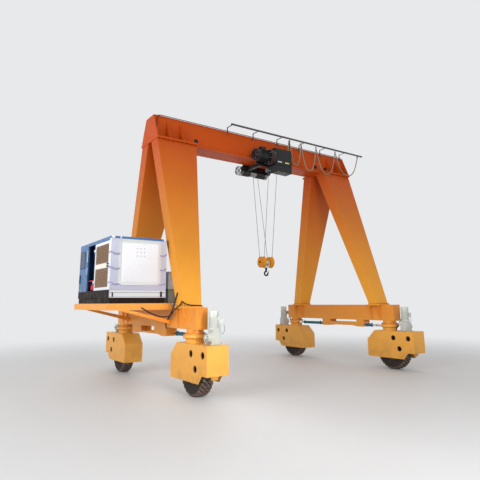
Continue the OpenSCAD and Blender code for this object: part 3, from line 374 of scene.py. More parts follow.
class Shape:
    """Collects simple solids and becomes one mesh object."""

    def __init__(self):
        self.verts = []
        self.faces = []
        self.round = []

    def add(self, verts, faces, is_round=False):
        start = len(self.verts)
        self.verts += [tuple(v) for v in verts]
        self.faces += [tuple(start + i for i in f) for f in faces]
        self.round += [is_round] * len(faces)

    def block(self, lo, hi):
        x, y, z = zip(lo, hi)
        corners = [(x[i], y[j], z[k]) for i in (0, 1) for j in (0, 1) for k in (0, 1)]
        self.add(corners, [(0, 1, 3, 2), (4, 6, 7, 5), (0, 4, 5, 1), (2, 3, 7, 6), (0, 2, 6, 4),
                           (1, 5, 7, 3)])

    def rings(self, rings, is_round=True):
        """A solid through rings of points, with flat ends."""
        sides = len(rings[0])
        points = [p for ring in rings for p in ring]
        self.add(points, quads(len(rings), sides, close_columns=True), is_round)
        last = len(points) - sides
        self.add(points, [tuple(range(sides - 1, -1, -1)), tuple(range(last, last + sides))])

    def disc(self, centre, axis, r, h, sides=24, r_end=None):
        """A prism or cylinder from centre along axis, with r_end at its far end."""
        across, up = basis(axis)
        centre, axis = Vector(centre), Vector(axis)
        ends = ((r, 0.0), (r if r_end is None else r_end, h))
        self.rings([[centre + axis * along + radius * (cos(a) * across + sin(a) * up)
                     for a in circle(sides)] for radius, along in ends], sides > 8)

    def bolt(self, seat, axis, size):
        """A washer and a hexagon head, or nut, along axis. Its size is (radius, height)."""
        (r, h), seat, axis = size, Vector(seat), Vector(axis)
        self.disc(seat, axis, r * 1.25, h * 0.25, 16)
        self.disc(seat + axis * h * 0.25, axis, r, h * 0.8, 6)
        self.disc(seat + axis * h * 1.05, axis, r * 0.55, h * 0.35, 10)

    def bolt_circle(self, centre, axis, radius, count, size, start=None):
        """Bolts set evenly on a circle about an axis along X or Z."""
        for a in circle(count, pi / count if start is None else start):
            out = (0, cos(a), sin(a)) if axis[0] else (cos(a), sin(a), 0)
            self.bolt(Vector(centre) + Vector(out) * radius, axis, size)

    def tube(self, path, r, sides=10):
        """A round bar along a path."""
        path = [Vector(p) for p in path]
        rings, last = [], None
        for i, p in enumerate(path):
            ahead = (path[min(i + 1, len(path) - 1)] - path[max(i - 1, 0)]).normalized()
            across, up = basis(ahead) if last is None else carried(ahead, last)
            last = across
            rings.append([p + r * (cos(a) * across + sin(a) * up) for a in circle(sides)])
        self.rings(rings)

    def weld(self, points, r):
        """A weld bead along each straight between successive points."""
        for a, b in zip(points, points[1:]):
            self.tube([a, b], r, 6)

    def revolve(self, profile, centre, axis, steps=72):
        """Turns a closed profile of (radius, place along axis) about the axis."""
        across, up = basis(axis)
        verts = []
        for a in circle(steps):
            out = cos(a) * across + sin(a) * up
            verts += [Vector(centre) + out * r + Vector(axis) * x for r, x in profile]
        self.add(verts, quads(steps, len(profile), True, True), True)

    def ring(self, centre, axis, r, thick, steps=32, sides=8):
        """A round bar bent to a closed ring."""
        profile = [(r + thick * cos(b), thick * sin(b)) for b in circle(sides)]
        self.revolve(profile, centre, axis, steps)

    def edging(self, centre, axis, r):
        """A flat black ring round a hole of radius r: an edging on the hoods, painted shade
        widening the hole on the girder's web.
        """
        out = r + EDGING
        self.revolve([(r, 0.0), (out, 0.0), (out, EDGING_T), (r, EDGING_T)], centre, axis, 48)

    def sheet(self, rows):
        """A smooth surface through rows of points."""
        self.add([p for row in rows for p in row], quads(len(rows), len(rows[0])), True)

    def slat(self, x, y0, y1, z, depth, drop, thick=0.003):
        """A sloping louvre blade that leans out from x by depth and down by drop."""
        low = z - drop
        corners = ((x, z), (x, z - thick), (x - depth, low - thick), (x - depth, low))
        self.add([(px, y, pz) for y in (y0, y1) for px, pz in corners],
                 [(0, 1, 2, 3), (7, 6, 5, 4), (0, 4, 5, 1), (1, 5, 6, 2), (2, 6, 7, 3),
                  (3, 7, 4, 0)])

    def make(self, name, material, slot, body="root", bevel=0.0):
        """Makes the mesh object, and fastens it to its body unless that is None."""
        mesh = bpy.data.meshes.new(name)
        mesh.from_pydata(self.verts, [], self.faces)
        mesh.polygons.foreach_set("use_smooth", self.round)
        mesh.materials.append(MATERIALS[material])
        mesh.update()
        obj = add_object(name, mesh)
        outward(obj)
        if bevel:
            modifier = obj.modifiers.new("edges", "BEVEL")
            modifier.width = bevel
            modifier.segments = 2
            modifier.limit_method = "ANGLE"
            modifier.angle_limit = radians(40)
        if body:
            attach(obj, body)
        return obj


def add_object(name, data):
    """Puts an object with this data in the scene."""
    obj = bpy.data.objects.new(name, data)
    bpy.context.scene.collection.objects.link(obj)
    return obj


def basis(axis):
    """Two directions at right angles to an axis and to each other."""
    axis = Vector(axis).normalized()
    helper = Vector((0, 0, 1)) if abs(axis.z) < 0.9 else Vector((1, 0, 0))
    across = axis.cross(helper).normalized()
    return across, axis.cross(across).normalized()


def carried(ahead, last):
    """The same two directions, turned as little as possible from the last ring's."""
    across = (last - ahead * last.dot(ahead)).normalized()
    return across, ahead.cross(across).normalized()


def outward(obj):
    """Points every face of a mesh outwards."""
    bm = bmesh.new()
    bm.from_mesh(obj.data)
    bmesh.ops.recalc_face_normals(bm, faces=bm.faces)
    bm.to_mesh(obj.data)
    bm.free()


def smooth_path(points, steps=6):
    """A Catmull-Rom curve through the points."""
    points = [Vector(p) for p in points]
    ends = [2 * points[0] - points[1]] + points + [2 * points[-1] - points[-2]]
    out = []
    for i in range(1, len(ends) - 2):
        a, b, c, d = ends[i - 1:i + 3]
        for k in range(steps):
            t = k / steps
            out.append(0.5 * (2 * b + (c - a) * t + (2 * a - 5 * b + 4 * c - d) * t * t
                              + (3 * b - a - 3 * c + d) * t ** 3))
    return out + [points[-1]]


def lay(points, steps=6):
    """A smooth path through points given from mid span."""
    return smooth_path([at(*p) for p in points], steps)


def add_blocks(name, material, slot, bevel, corners, body="root"):
    """One piece made of plain blocks, each between two corners given from mid span."""
    shape = Shape()
    for low, high in corners:
        shape.block(at(*low), at(*high))
    shape.make(name, material, slot, body, bevel)


# Bogies

def tyre_profile():
    """Section of the tyre below its tread blocks: bead, bulging wall, shoulder and tread floor."""
    floor = TYRE_R - TREAD_DEPTH
    bead = ((0.001, 0.123), (0.02, 0.134), (0.055, 0.143), (0.085, 0.15), (0.092, 0.153),
            (0.104, 0.151))
    wall = [(RIM_R + rise, x) for rise, x in bead]
    wall += [(0.414, 0.1548), (0.45, 0.1535), (0.478, 0.15), (0.486, 0.152), (0.494, 0.149),
             (0.518, 0.143), (floor - 0.008, 0.134), (floor, 0.118)]
    return wall + [(r, -x) for r, x in reversed(wall)]


def tread_block(shape, centre, stations, a_low, a_high):
    """One block, slanted round the tyre, on stations of (place across, foot radius, top radius)."""
    n = len(stations)
    layer = n * BLOCK_STEPS
    verts = []
    for (level, inset), k in product(((1, 0.0), (2, BLOCK_INSET)), range(BLOCK_STEPS)):
        start = a_low + inset + (a_high - a_low - 2 * inset) * k / (BLOCK_STEPS - 1)
        for station in stations:
            a = start + TREAD_SLANT * (station[0] - stations[0][0])
            r = station[level]
            verts.append(centre + Vector((station[0], r * cos(a), r * sin(a))))
    grid = quads(BLOCK_STEPS, n)
    edges = [(n * k + j, n * k + j + n) for k in range(BLOCK_STEPS - 1) for j in (0, n - 1)]
    edges += [(first + j, first + j + 1) for first in (0, layer - n) for j in range(n - 1)]
    shape.add(verts, grid + [tuple(layer + i for i in f) for f in grid]
              + [(i, k, layer + k, layer + i) for i, k in edges])


def add_tyre(corner):
    """The tyre's case with its tread blocks, and the wheel's nuts."""
    centre = Vector(PIVOTS["roll_" + corner])
    body = "wheel_" + corner
    foot, top = TYRE_R - TREAD_DEPTH - 0.004, TYRE_R - 0.0005
    shoulder = ((0.08, foot, top), (0.122, foot, top - 0.003), (0.143, foot - 0.02, top - 0.014),
                (0.153, foot - 0.045, foot - 0.02))
    middle = ((0.007, foot, top), (0.071, foot, top))
    pitch = 2 * pi / TREAD_PITCHES
    blocks, case, nuts = Shape(), Shape(), Shape()
    for row, side, offset in ((shoulder, -1, 0.0), (middle, -1, 0.5), (middle, 1, 0.0),
                              (shoulder, 1, 0.5)):
        stations = [(side * x, low, high) for x, low, high in row]
        for a in circle(TREAD_PITCHES, offset * pitch):
            tread_block(blocks, centre, stations, a, a + TREAD_SHARE * pitch)
    blocks.make("tyre_tread_" + corner, "tread", "tyre_rubber", body)
    case.revolve(tyre_profile(), centre, RIGHT, 96)
    tyre = case.make("tyre_case_" + corner, "tyre", "tyre_rubber", body)
    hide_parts("tyre_" + corner)
    for side, face in ((-1, 0.0335), (1, 0.0381)):
        seat = centre + Vector((face * side, 0, 0))
        nuts.bolt_circle(seat, (side, 0, 0), NUT_CIRCLE_R, 10, WHEEL_NUT)
    nuts.make("wheel_nuts_" + corner, "bolt", "rim_paint", body)


def add_ring_bolts(corner):
    """Bolts of the slewing ring: heads on the fixed flange and nuts below the turning one."""
    x, y, _ = PIVOTS["steer_" + corner]
    fixed, turning = Shape(), Shape()
    fixed.bolt_circle((x, y, 1.4103), UP, 0.251, 24, RING_BOLT)
    turning.bolt_circle((x, y, 1.325), DOWN, 0.279, 24, RING_NUT)
    fixed.make("ring_bolts_upper_" + corner, "bolt", "orange_paint")
    turning.make("ring_bolts_lower_" + corner, "bolt", "orange_paint", "bogie_" + corner)


def add_drive_trim(corner, sx, sy):
    """Fasteners, fan grille, gland and terminal loop of a travel gearmotor."""
    body = "bogie_" + corner
    x, y = sx * DRIVE_X, sy * DRIVE_Y

    def spot(dx, dy, dz):
        return at(x + dx, y + dy, HOOD_TOP + dz)

    bolts, trim, loop = Shape(), Shape(), Shape()
    for dx, dy in product((-0.135, 0.135), (-0.108, 0.108)):
        bolts.bolt(spot(dx, dy, 0.028), UP, DRIVE_FOOT_BOLT)
    bolts.bolt_circle(spot(sx * 0.2, 0, 0.15), (sx, 0, 0), 0.084, 8, AXLE_FLANGE_BOLT)
    bolts.bolt_circle(spot(0, 0, 0.365), UP, 0.118, 8, MOTOR_BOLT)
    for dy, dz in product((-0.055, 0.055), (0.455, 0.56)):
        bolts.bolt(spot(0.223, dy, dz), RIGHT, BOX_SCREW)
    bolts.make("drive_bolts_" + corner, "bolt", "grey_paint", body)
    top = spot(0, 0, 0.7515)
    for r in (0.03, 0.055, 0.08):
        trim.ring(top, UP, r, 0.004, 32, 6)
    for a in circle(12)[:6]:
        out = Vector((cos(a), sin(a), 0)) * 0.092
        trim.tube([top - out, top + out], 0.003, 6)
    for dz in (0.655, 0.672, 0.689):
        trim.ring(spot(0, 0, dz), UP, 0.118, 0.003, 40, 6)
    trim.ring(spot(0, -sy * 0.106, 0.625), RIGHT, 0.024, 0.007, 24)
    trim.disc(spot(0.165, 0, 0.44), DOWN, 0.02, 0.028, 12, 0.013)
    trim.disc(spot(sx * 0.25, 0, 0.15), (sx, 0, 0), 0.026, 0.006)
    trim.disc(spot(0, sy * 0.11, 0.12), (0, sy, 0), 0.07, 0.012, 32)
    trim.disc(spot(0, sy * 0.122, 0.12), (0, sy, 0), 0.012, 0.01, 6)
    trim.make("drive_trim_" + corner, "drive", "grey_paint", body)
    path = [(0.165, 0.415), (0.166, 0.345), (0.19, 0.245), (0.245, 0.225), (0.292, 0.3),
            (0.288, 0.4), (0.226, 0.47)]
    loop.tube(lay([(x + dx, y, HOOD_TOP + dz) for dx, dz in path]), CONDUIT_R, 8)
    loop.make("drive_conduit_" + corner, "cable", "grey_paint", body)


def add_drive_cables(corner, sx, sy):
    """Two slack cables from a gearmotor's terminal box down over its hood."""
    shape = Shape()
    x, y = sx * DRIVE_X + 0.12, sy * DRIVE_Y
    for k, drop in enumerate((0.0, 0.06)):
        path = [(0.0, 0.072, 1.715 - drop), (0.02, 0.15, 1.69 - drop),
                (0.03 * (1 - k), 0.26, 1.56 - 2 * drop), (-0.03, 0.33, 1.42 - drop),
                (-0.05, 0.39, 1.3 - 0.5 * drop), (-0.06, 0.41, 1.222)]
        shape.tube(lay([(x + dx, y - sy * dy, z) for dx, dy, z in path]), DRIVE_CABLE_R, 8)
    shape.make("drive_cables_" + corner, "hose", "black_paint", "bogie_" + corner)


def add_hood_trim(corner, sy):
    """Weld beads along the hood's plate edges, edgings round its holes and its scraper's bolts."""
    px, py, _ = PIVOTS["steer_" + corner]
    body = "bogie_" + corner
    welds, edgings, bolts = Shape(), Shape(), Shape()
    outline = ((HOOD_OUT, 0.548), (HOOD_OUT, HOOD_TOP), (HOOD_IN + 0.312, HOOD_TOP),
               (HOOD_IN, 0.904), (HOOD_IN, 0.36))
    for side in (-1, 1):
        x = px + side * (HOOD_HALF - 0.002)
        welds.weld([(x, py + sy * (y - 0.002), z - 0.002) for y, z in outline], 0.005)
        for y, z in HOOD_HOLES:
            edgings.edging((px + side * HOOD_HALF, py + sy * y, z), (side, 0, 0), HOOD_HOLE_R)
    for k in range(-2, 3):
        bolts.bolt((px + 0.036 * k, py + sy * (HOOD_OUT - 0.122), 0.56), (0, sy, 0), SCRAPER_BOLT)
    welds.make("hood_welds_" + corner, "hood", "orange_paint", body)
    edgings.make("hood_edging_" + corner, "dark", "orange_paint", body)
    bolts.make("scraper_bolts_" + corner, "bolt", "orange_paint", body)


def add_cylinder_trim(corner, sy):
    """Hose ports and the gland ring of a steering cylinder."""
    low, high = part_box("barrel_" + corner)
    x, z = (low.x + high.x) / 2, (low.z + high.z) / 2
    base, gland = (low.y, high.y) if sy > 0 else (high.y, low.y)
    ports = Shape()
    for y in (base + sy * 0.132, gland - sy * 0.034):
        ports.disc((x, y, z + 0.056), UP, 0.014, 0.02, 12)
        ports.disc((x, y, z + 0.074), UP, 0.01, 0.022, 6)
    ports.disc((x, gland, z), (0, sy, 0), 0.034, 0.005)
    ports.make("cylinder_ports_" + corner, "steel", "black_paint", "cylinder_" + corner)


# Girder, legs and sills

def add_frame_bolts():
    """Bolt rows round the head flanges and the leg feet."""
    shape = Shape()
    half_x, half_y = (FOOT_W + FOOT_LIP_X) / 2, (FOOT_D + FOOT_LIP_Y) / 2
    for sx in (-1, 1):
        for x in spread(HEAD_IN + 0.06, HEAD_OUT - 0.06, 9):
            for y in (-HEAD_HALF + 0.03, HEAD_HALF - 0.03):
                shape.bolt(at(sx * x, y, HEAD_TOP), UP, HEAD_BOLT)
                shape.bolt(at(sx * x, y, HEAD_UNDER), DOWN, HEAD_BOLT)
        for y in (-0.52, -0.45, 0.45, 0.52):
            shape.bolt(at(sx * (HEAD_IN + 0.03), y, HEAD_TOP), UP, HEAD_BOLT)
        for sy in (-1, 1):
            foot = at(sx * FOOT_X, sy * FOOT_Y, FOOT_TOP)
            for dx, dy in product(spread(0.03 - half_x, half_x - 0.03, 6), (-half_y, half_y)):
                shape.bolt(foot + Vector((dx, dy, 0)), UP, FOOT_BOLT)
            for dy, dx in product(spread(0.08 - half_y, half_y - 0.08, 3), (-half_x, half_x)):
                shape.bolt(foot + Vector((dx, dy, 0)), UP, FOOT_END_BOLT)
    shape.make("frame_bolts", "bolt", "orange_paint")


def weld_round(shape, x, y, z, r):
    """A weld bead round a level rectangle, given from mid span."""
    corners = ((0, 0), (1, 0), (1, 1), (0, 1), (0, 0))
    shape.weld([at(x[i], y[j], z) for i, j in corners], r)


def add_frame_welds():
    """Welds at the legs' feet and heads and along the girder's web, and painted shade in and round
    the web's holes.
    """
    welds, caps = Shape(), Shape()
    for sx, sy in product((-1, 1), (-1, 1)):
        x, y, way = sx * FOOT_X, sy * FOOT_Y, (0, sy, 0)
        weld_round(welds, (x - FOOT_W / 2, x + FOOT_W / 2), (y - FOOT_D / 2, y + FOOT_D / 2),
                   FOOT_TOP, 0.007)
        weld_round(welds, (sx * (HEAD_IN + 0.015), sx * (HEAD_OUT - 0.015)),
                   (sy * 0.115, sy * 0.555), HEAD_UNDER, 0.008)
        # In each web hole a dark disc just inside and a dark ring round it: painted shade, so the
        # hole reads dark and wide.
        for x in WEB_HOLE_X:
            inside = at(sx * x, sy * (WEB_HALF - 0.004), WEB_HOLE_Z)
            caps.disc(inside, way, WEB_HOLE_R, 0.001, 40)
            caps.edging(at(sx * x, sy * WEB_HALF, WEB_HOLE_Z), way, WEB_HOLE_R)
    for y, z in product((-WEB_HALF, WEB_HALF), (HEAD_TOP, WEB_HIGH)):
        welds.weld([at(-4.0, y, z), at(4.0, y, z)], 0.006)
    welds.make("frame_welds", "girder", "orange_paint")
    caps.make("web_hole_shade", "dark", "orange_paint")


def add_supply_cables():
    """Black cables: one along the girder's edge and down its left head, three at the left leg."""
    shape = Shape()
    edge = [(-3.93, -0.33, 6.96), (-3.925, -0.312, 7.3), (-3.9, -0.3, 7.64),
            (-3.82, -0.3, 7.7)]
    edge += [(-3.6 + 0.5 * k, -0.3, 7.704) for k in range(16)]
    shape.tube(lay(edge, 4), EDGE_CABLE_R, 8)
    to_leg = [(-4.64, -1.33, 2.03), (-4.566, -1.338, 1.983), (-4.403, -1.342, 1.894),
              (-4.143, -1.345, 1.802), (-3.99, -1.35, 1.791), (-3.9, -1.38, 1.812),
              (-3.9, -1.5, 1.9), (-3.902, -1.629, 2.037), (-3.905, -1.72, 2.19),
              (-3.895, -1.796, 2.332), (-3.888, -1.82, 2.39)]
    shape.tube(lay(to_leg), LEG_CABLE_R)
    to_sill = [(-3.87, -1.19, 1.49), (-3.9, -1.212, 1.555), (-3.908, -1.24, 1.656),
               (-3.905, -1.55, 1.888), (-3.905, -2.014, 2.099), (-3.898, -2.091, 2.175),
               (-3.86, -2.15, 2.128), (-3.74, -2.165, 2.086), (-3.603, -2.165, 2.074),
               (-3.376, -2.16, 2.066)]
    shape.tube(lay(to_sill), SILL_CABLE_R)
    thin = [(-3.905, -1.7, 2.02), (-3.915, -1.6, 1.86), (-3.912, -1.42, 1.745),
            (-3.905, -1.255, 1.69)]
    shape.tube(lay(thin), THIN_CABLE_R, 8)
    shape.make("supply_cables", "hose", "black_paint")


# Hoist

def add_hoist_trim():
    """The cabinet's blank plates, screws and hinges, and the motor's fasteners, cover and band."""
    low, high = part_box("hoist_cabinet")
    x0, z0 = low.x, low.z
    face, door = high.y - 0.37, high.y - 0.364
    for name, paint, x in (("pale", "plate", x0 + 0.095), ("yellow", "label", x0 + 0.415)):
        plate = Shape()
        plate.block((x + 0.006, face - 0.002, z0 + 0.326), (x + 0.184, face + 0.002, z0 + 0.364))
        plate.make("cabinet_plate_" + name, paint, "black_paint", "trolley")
    trim, bolts, cover, band = Shape(), Shape(), Shape(), Shape()
    for x, z in product((x0 + 0.045, high.x - 0.045), (z0 + 0.265, z0 + 0.52, high.z - 0.045)):
        trim.bolt((x, door, z), FRONT, DOOR_SCREW)
    for z in (z0 + 0.33, high.z - 0.2):
        trim.disc((high.x - 0.01, door - 0.004, z), UP, 0.011, 0.08, 16)
    trim.block((x0 + 0.03, door - 0.016, z0 + 0.45), (x0 + 0.055, door, z0 + 0.56))
    trim.make("cabinet_trim", "dark", "black_paint", "trolley")
    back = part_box("hoist_motor")[0].x

    def spot(dx, dy=0.0, dz=0.0):
        return Vector((back + dx, MOTOR_AXIS[0] + dy, MOTOR_AXIS[1] + dz))

    start = radians(22)
    bolts.bolt_circle(spot(0.52), LEFT, 0.227, 8, GEAR_BOLT, start)
    bolts.bolt_circle(spot(0.0), LEFT, 0.165, 8, MOTOR_END_BOLT, start)
    bolts.make("hoist_fasteners", "steel", "black_paint", "trolley")
    cover.disc(spot(0.0), LEFT, 0.11, 0.016, 32, 0.09)
    cover.disc(spot(-0.016), LEFT, 0.03, 0.014, 16)
    for dx in (0.03, 0.07, 0.11):
        cover.ring(spot(dx), RIGHT, 0.195, 0.006, 40, 6)
    cover.block(spot(0.23, -0.09, 0.19), spot(0.43, 0.09, 0.29))
    cover.make("motor_cover", "black", "black_paint", "trolley")
    rim = [(0.2505, 0.01), (0.2535, 0.016), (0.2535, 0.188), (0.2505, 0.194)]
    band.revolve(rim, spot(0.55), RIGHT, 64)
    band.make("gear_case_band", "maroon", "black_paint", "trolley")


def add_block_trim():
    """Bolts on the sheave guards, and dark seams round the guards' rims."""
    low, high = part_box("hook_guards")
    y, z = (low.y + high.y) / 2, (low.z + high.z) / 2
    bolts, seams = Shape(), Shape()
    for sx in (-1, 1):
        face = HOOK_X + sx * (SHEAVE_X + 0.062)
        bolts.bolt_circle(at(face, y, z), (sx, 0, 0), 0.15, 6, GUARD_BOLT)
        bolts.bolt(at(face + sx * 0.018, y, z), (sx, 0, 0), AXLE_NUT)
        seams.ring(at(HOOK_X + sx * SHEAVE_X, y, z), RIGHT, 0.1835, 0.003, 64, 6)
    bolts.make("guard_bolts", "bolt", "yellow_paint", "hook_block")
    seams.make("guard_seams", "dark", "yellow_paint", "hook_block")


def add_drum_rope():
    """Rope wound on the drum in two runs, and the ring at the drum's end."""
    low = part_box("hoist_drum")[0]
    _, y, z = PIVOTS["drum_turn"]
    shape, ring = Shape(), Shape()
    for first, turns in ((low.x + 0.15, 22), (low.x + 0.76, 26)):
        path = []
        for k in range(TURN_STEPS * turns + 1):
            a = 2 * pi * k / TURN_STEPS
            path.append((first + ROPE_PITCH * k / TURN_STEPS, y + WOUND_R * cos(a),
                         z + WOUND_R * sin(a)))
        shape.tube(path, ROPE_R, 6)
    shape.make("drum_rope", "rope", "rope_steel", "drum")
    ring.ring((low.x + 0.01, y, z), RIGHT, 0.165, 0.012, 64, 10)
    ring.make("drum_end_ring", "chrome", "bright_steel", "drum")


def rope_ends(node):
    """The top and bottom of each fall's centre line, from the islands of the CAD mesh."""
    points = [v.co.copy() for v in node.data.vertices]
    falls = []
    for sx, sy in product((-1, 1), (-1, 1)):
        mine = [p for p in points if (p.x - MID_X - HOOK_X) * sx > 0 and p.y * sy > 0]
        heights = [p.z for p in mine]
        ends = []
        for level in (max(heights), min(heights)):
            near = [p for p in mine if abs(p.z - level) < 0.02]
            xs, ys = [p.x for p in near], [p.y for p in near]
            ends.append(Vector(((min(xs) + max(xs)) / 2, (min(ys) + max(ys)) / 2, level)))
        falls.append(ends)
    return falls


def add_ropes():
    """The four falls as laid wire ropes, which stretch between the trolley and the hook block."""
    falls = rope_ends(frame["nodes"]["hoist_ropes"])
    shape = Shape()
    for top, end in falls:
        ahead = (end - top).normalized()
        across, up = basis(ahead)
        length = (end - top).length
        steps = int(length / ROPE_STEP)
        for start in circle(STRANDS):
            path = []
            for k in range(steps + 1):
                s = length * k / steps
                a = 2 * pi * s / ROPE_LAY + start
                out = cos(a) * across + sin(a) * up
                path.append(top + ahead * s + (ROPE_R - STRAND_R) * out)
            shape.tube(path, STRAND_R, 5)
    rope = shape.make("laid_ropes", "rope", "rope_steel", None)
    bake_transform(rope)
    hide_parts("hoist_ropes")


# Festoon

def festoon_path():
    """The cable's centre line: U-shaped loops from hanging point to hanging point."""
    path = []
    for (x0, x1, low), k in product(zip(HANG_X, HANG_X[1:], LOOP_Z), range(LOOP_STEPS)):
        t = k / LOOP_STEPS
        drop = 1 - abs(2 * t - 1) ** LOOP_POWER
        path.append(at(x0 + t * (x1 - x0), RAIL_Y, HANG_Z + (low - HANG_Z) * drop))
    return path + [at(HANG_X[-1], RAIL_Y, HANG_Z)]


def add_festoon():
    """The round cable, its tail to the hoist cabinet and the rail's end caps."""
    shape, tail, ends = Shape(), Shape(), Shape()
    shape.tube(festoon_path(), FESTOON_R, 12)
    cable = shape.make("festoon_lead", "cable", "cable_rubber", None)
    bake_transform(cable)
    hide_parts("festoon_cable")
    x, _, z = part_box("hoist_cabinet")[1]
    path = [at(HANG_X[0] - dx, RAIL_Y, HANG_Z - dz)
            for dx, dz in ((0.016, 0.0), (0.045, 0.03), (0.052, 0.14))]
    path += [Vector((x - 0.05, RAIL_Y, z + 0.12)), Vector((x - 0.052, RAIL_Y, z + 0.01))]
    tail.tube(smooth_path(path), 0.016)
    tail.disc((x - 0.052, RAIL_Y, z), UP, 0.03, 0.026, 6)
    tail.make("festoon_tail", "cable", "black_paint", "trolley")
    low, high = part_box("festoon_rail")
    for x in (low.x, high.x - 0.012):
        ends.block((x, RAIL_Y - 0.027, RAIL_TOP - 0.047),
                   (x + 0.012, RAIL_Y + 0.027, RAIL_TOP + 0.002))
    ends.make("rail_ends", "dark", "rail_steel")


# Generator set

def pad_y(x, z):
    """Front of the padded sheet, which bulges out towards its middle."""
    u = (2 * x - PAD_X[0] - PAD_X[1]) / (PAD_X[1] - PAD_X[0])
    v = (2 * z - PAD_Z[0] - PAD_Z[1]) / (PAD_Z[1] - PAD_Z[0])
    return PAD_FRONT - 0.003 - PAD_BULGE * max(0.0, 1 - u * u) * max(0.0, 1 - v * v)


def add_pad():
    """The padded sheet on the canopy's end, its rolled lower lip and its round vents."""
    pad, lip, vents = Shape(), Shape(), Shape()
    grid = []
    for z in spread(PAD_Z[0] - PAD_EDGE, PAD_Z[1] + PAD_EDGE, PAD_POINTS):
        row = []
        for x in spread(PAD_X[0] - PAD_EDGE, PAD_X[1] + PAD_EDGE, PAD_POINTS):
            inset = min(x - PAD_X[0], PAD_X[1] - x, z - PAD_Z[0], PAD_Z[1] - z) + PAD_EDGE
            share = min(1.0, max(0.0, inset) / (2 * PAD_EDGE))
            lift = sqrt(1 - (1 - share) ** 2)
            row.append(at(x, PANEL_Y + (pad_y(x, z) - PANEL_Y) * lift, z))
        grid.append(row)
    pad.sheet(grid)
    pad.make("panel_pad", "white", "white_paint")
    low = PAD_Z[0] - 0.042
    path = [(PAD_X[0] + 0.02, 0.0, 0.0), (PAD_X[0] + 0.06, 0.022, 0.003), (-4.7, 0.028, 0.012),
            (PAD_X[1] - 0.06, 0.022, 0.003), (PAD_X[1] - 0.02, 0.0, 0.0)]
    lip.tube(lay([(x, PANEL_Y - dy, low - dz) for x, dy, dz in path], 8), 0.018, 12)
    for x in (CANOPY_X[0] + 0.03, CANOPY_X[1] - 0.03):
        lip.disc(at(x, CANOPY_Y[0], CANOPY_Z[1] - 0.03), FRONT, 0.024, 0.012, 24, 0.018)
    lip.make("panel_lip", "white", "white_paint")
    for i, j in product(range(3), range(3)):
        x, z = -4.795 + 0.095 * i, 3.305 + 0.095 * j
        vents.disc(at(x, pad_y(x, z) + 0.002, z), FRONT, 0.012, 0.004, 16)
    vents.make("panel_vents", "louvre", "white_paint")


def add_straps():
    """Lilac straps from the padded sheet round both edges of the canopy."""
    straps = Shape()
    for i in range(3):
        z = CANOPY_Z[0] + (0.22 + 0.245 * i) * 1.51 + 0.013
        for x, way, reach in ((CANOPY_X[0], 1, 0.265), (CANOPY_X[1], -1, 0.215)):
            path = [(reach, -1.322, 0.0), (0.62 * reach, -1.334, -0.022),
                    (0.3 * reach, -1.334, -0.012), (0.012, -1.324, 0.02), (-0.01, -1.3, 0.026),
                    (-0.008, -1.225, 0.014), (0.003, -1.19, 0.0)]
            for lift in (-0.012, 0.0, 0.012):
                strand = [(x + way * dx, y, z + lift + dz) for dx, y, dz in path]
                straps.tube(lay(strand, 4), STRAP_R, 8)
    straps.make("panel_straps", "strap", "white_paint")


def add_end_panel():
    """Latches, lugs and seams of the canopy's end, bands of painted shadow round its pad, and the
    sheet round its outer corner.
    """
    x0, x1 = CANOPY_X
    add_blocks("panel_latches", "dark", "white_paint", 0.004, (
        ((-4.14, -1.345, 2.288), (-4.09, -1.318, 2.425)),
        ((-5.4, -1.328, 2.292), (-5.365, -1.316, 2.4))))
    add_blocks("panel_lugs", "cabinet", "white_paint", 0.004, [
        ((low, -1.316, 3.732), (high, -1.299, 3.782))
        for low, high in ((-5.456, -5.37), (-5.235, -5.205), (-4.06, -4.005))])
    # Lilac bands beside and below the pad: painted shadow on the white end sheet.
    add_blocks("panel_shadow_bands", "shade", "white_paint", 0.002, [
        ((low_x, PANEL_Y - 0.005, low_z), (high_x, PANEL_Y + 0.004, high_z))
        for low_x, low_z, high_x, high_z in (
            (x0 - 0.003, 2.64, -5.215, 3.724), (-4.18, 2.64, x1 + 0.003, 3.724),
            (x0 - 0.003, 2.47, x1 + 0.003, 2.64))])
    add_blocks("corner_sheet", "white", "white_paint", 0.001, (
        ((x0 - 0.004, PANEL_Y - 0.004, 2.47), (x0 + 0.001, -1.206, 3.724)),))
    add_blocks("panel_seams", "strap", "white_paint", 0.0, [
        ((x0 - 0.002, PANEL_Y - 0.01, z), (x1 + 0.002, PANEL_Y + 0.004, z + 0.012))
        for z in (2.455, 2.29)])


def add_door_trim():
    """Louvre blades, mid band and black latches of the side door."""
    blades, latches = Shape(), Shape()
    body, y0, y1 = "generator_door", *LOUVRE_Y
    add_blocks("door_sheets", "mesh", "white_paint", 0.0, [
        ((DOOR_FACE + 0.0085, y0 + 0.004, z + 0.004),
         (DOOR_FACE + 0.0105, y1 - 0.004, z + LOUVRE_H - 0.004)) for z in LOUVRE_Z], body)
    for z, k in product(LOUVRE_Z, range(12)):
        x, y, top = at(DOOR_FACE + 0.009, y0 + 0.014, z + 0.04 + 0.0375 * k)
        blades.slat(x, y, y1 - 0.014, top, 0.012, 0.022)
    blades.make("door_louvres", "louvre", "white_paint", body)
    add_blocks("door_band", "cream", "white_paint", 0.0, (
        ((DOOR_FACE - 0.002, -1.16, 3.026), (DOOR_FACE + 0.002, -0.14, 3.122)),), body)
    for z in (3.024, 3.084):
        latches.block(at(-5.494, -1.199, z - 0.003), at(DOOR_FACE + 0.001, -1.101, z + 0.037))
        latches.disc(at(-5.494, -1.13, z + 0.017), LEFT, 0.012, 0.005, 16)
    latches.make("door_latches", "dark", "white_paint", body, 0.004)


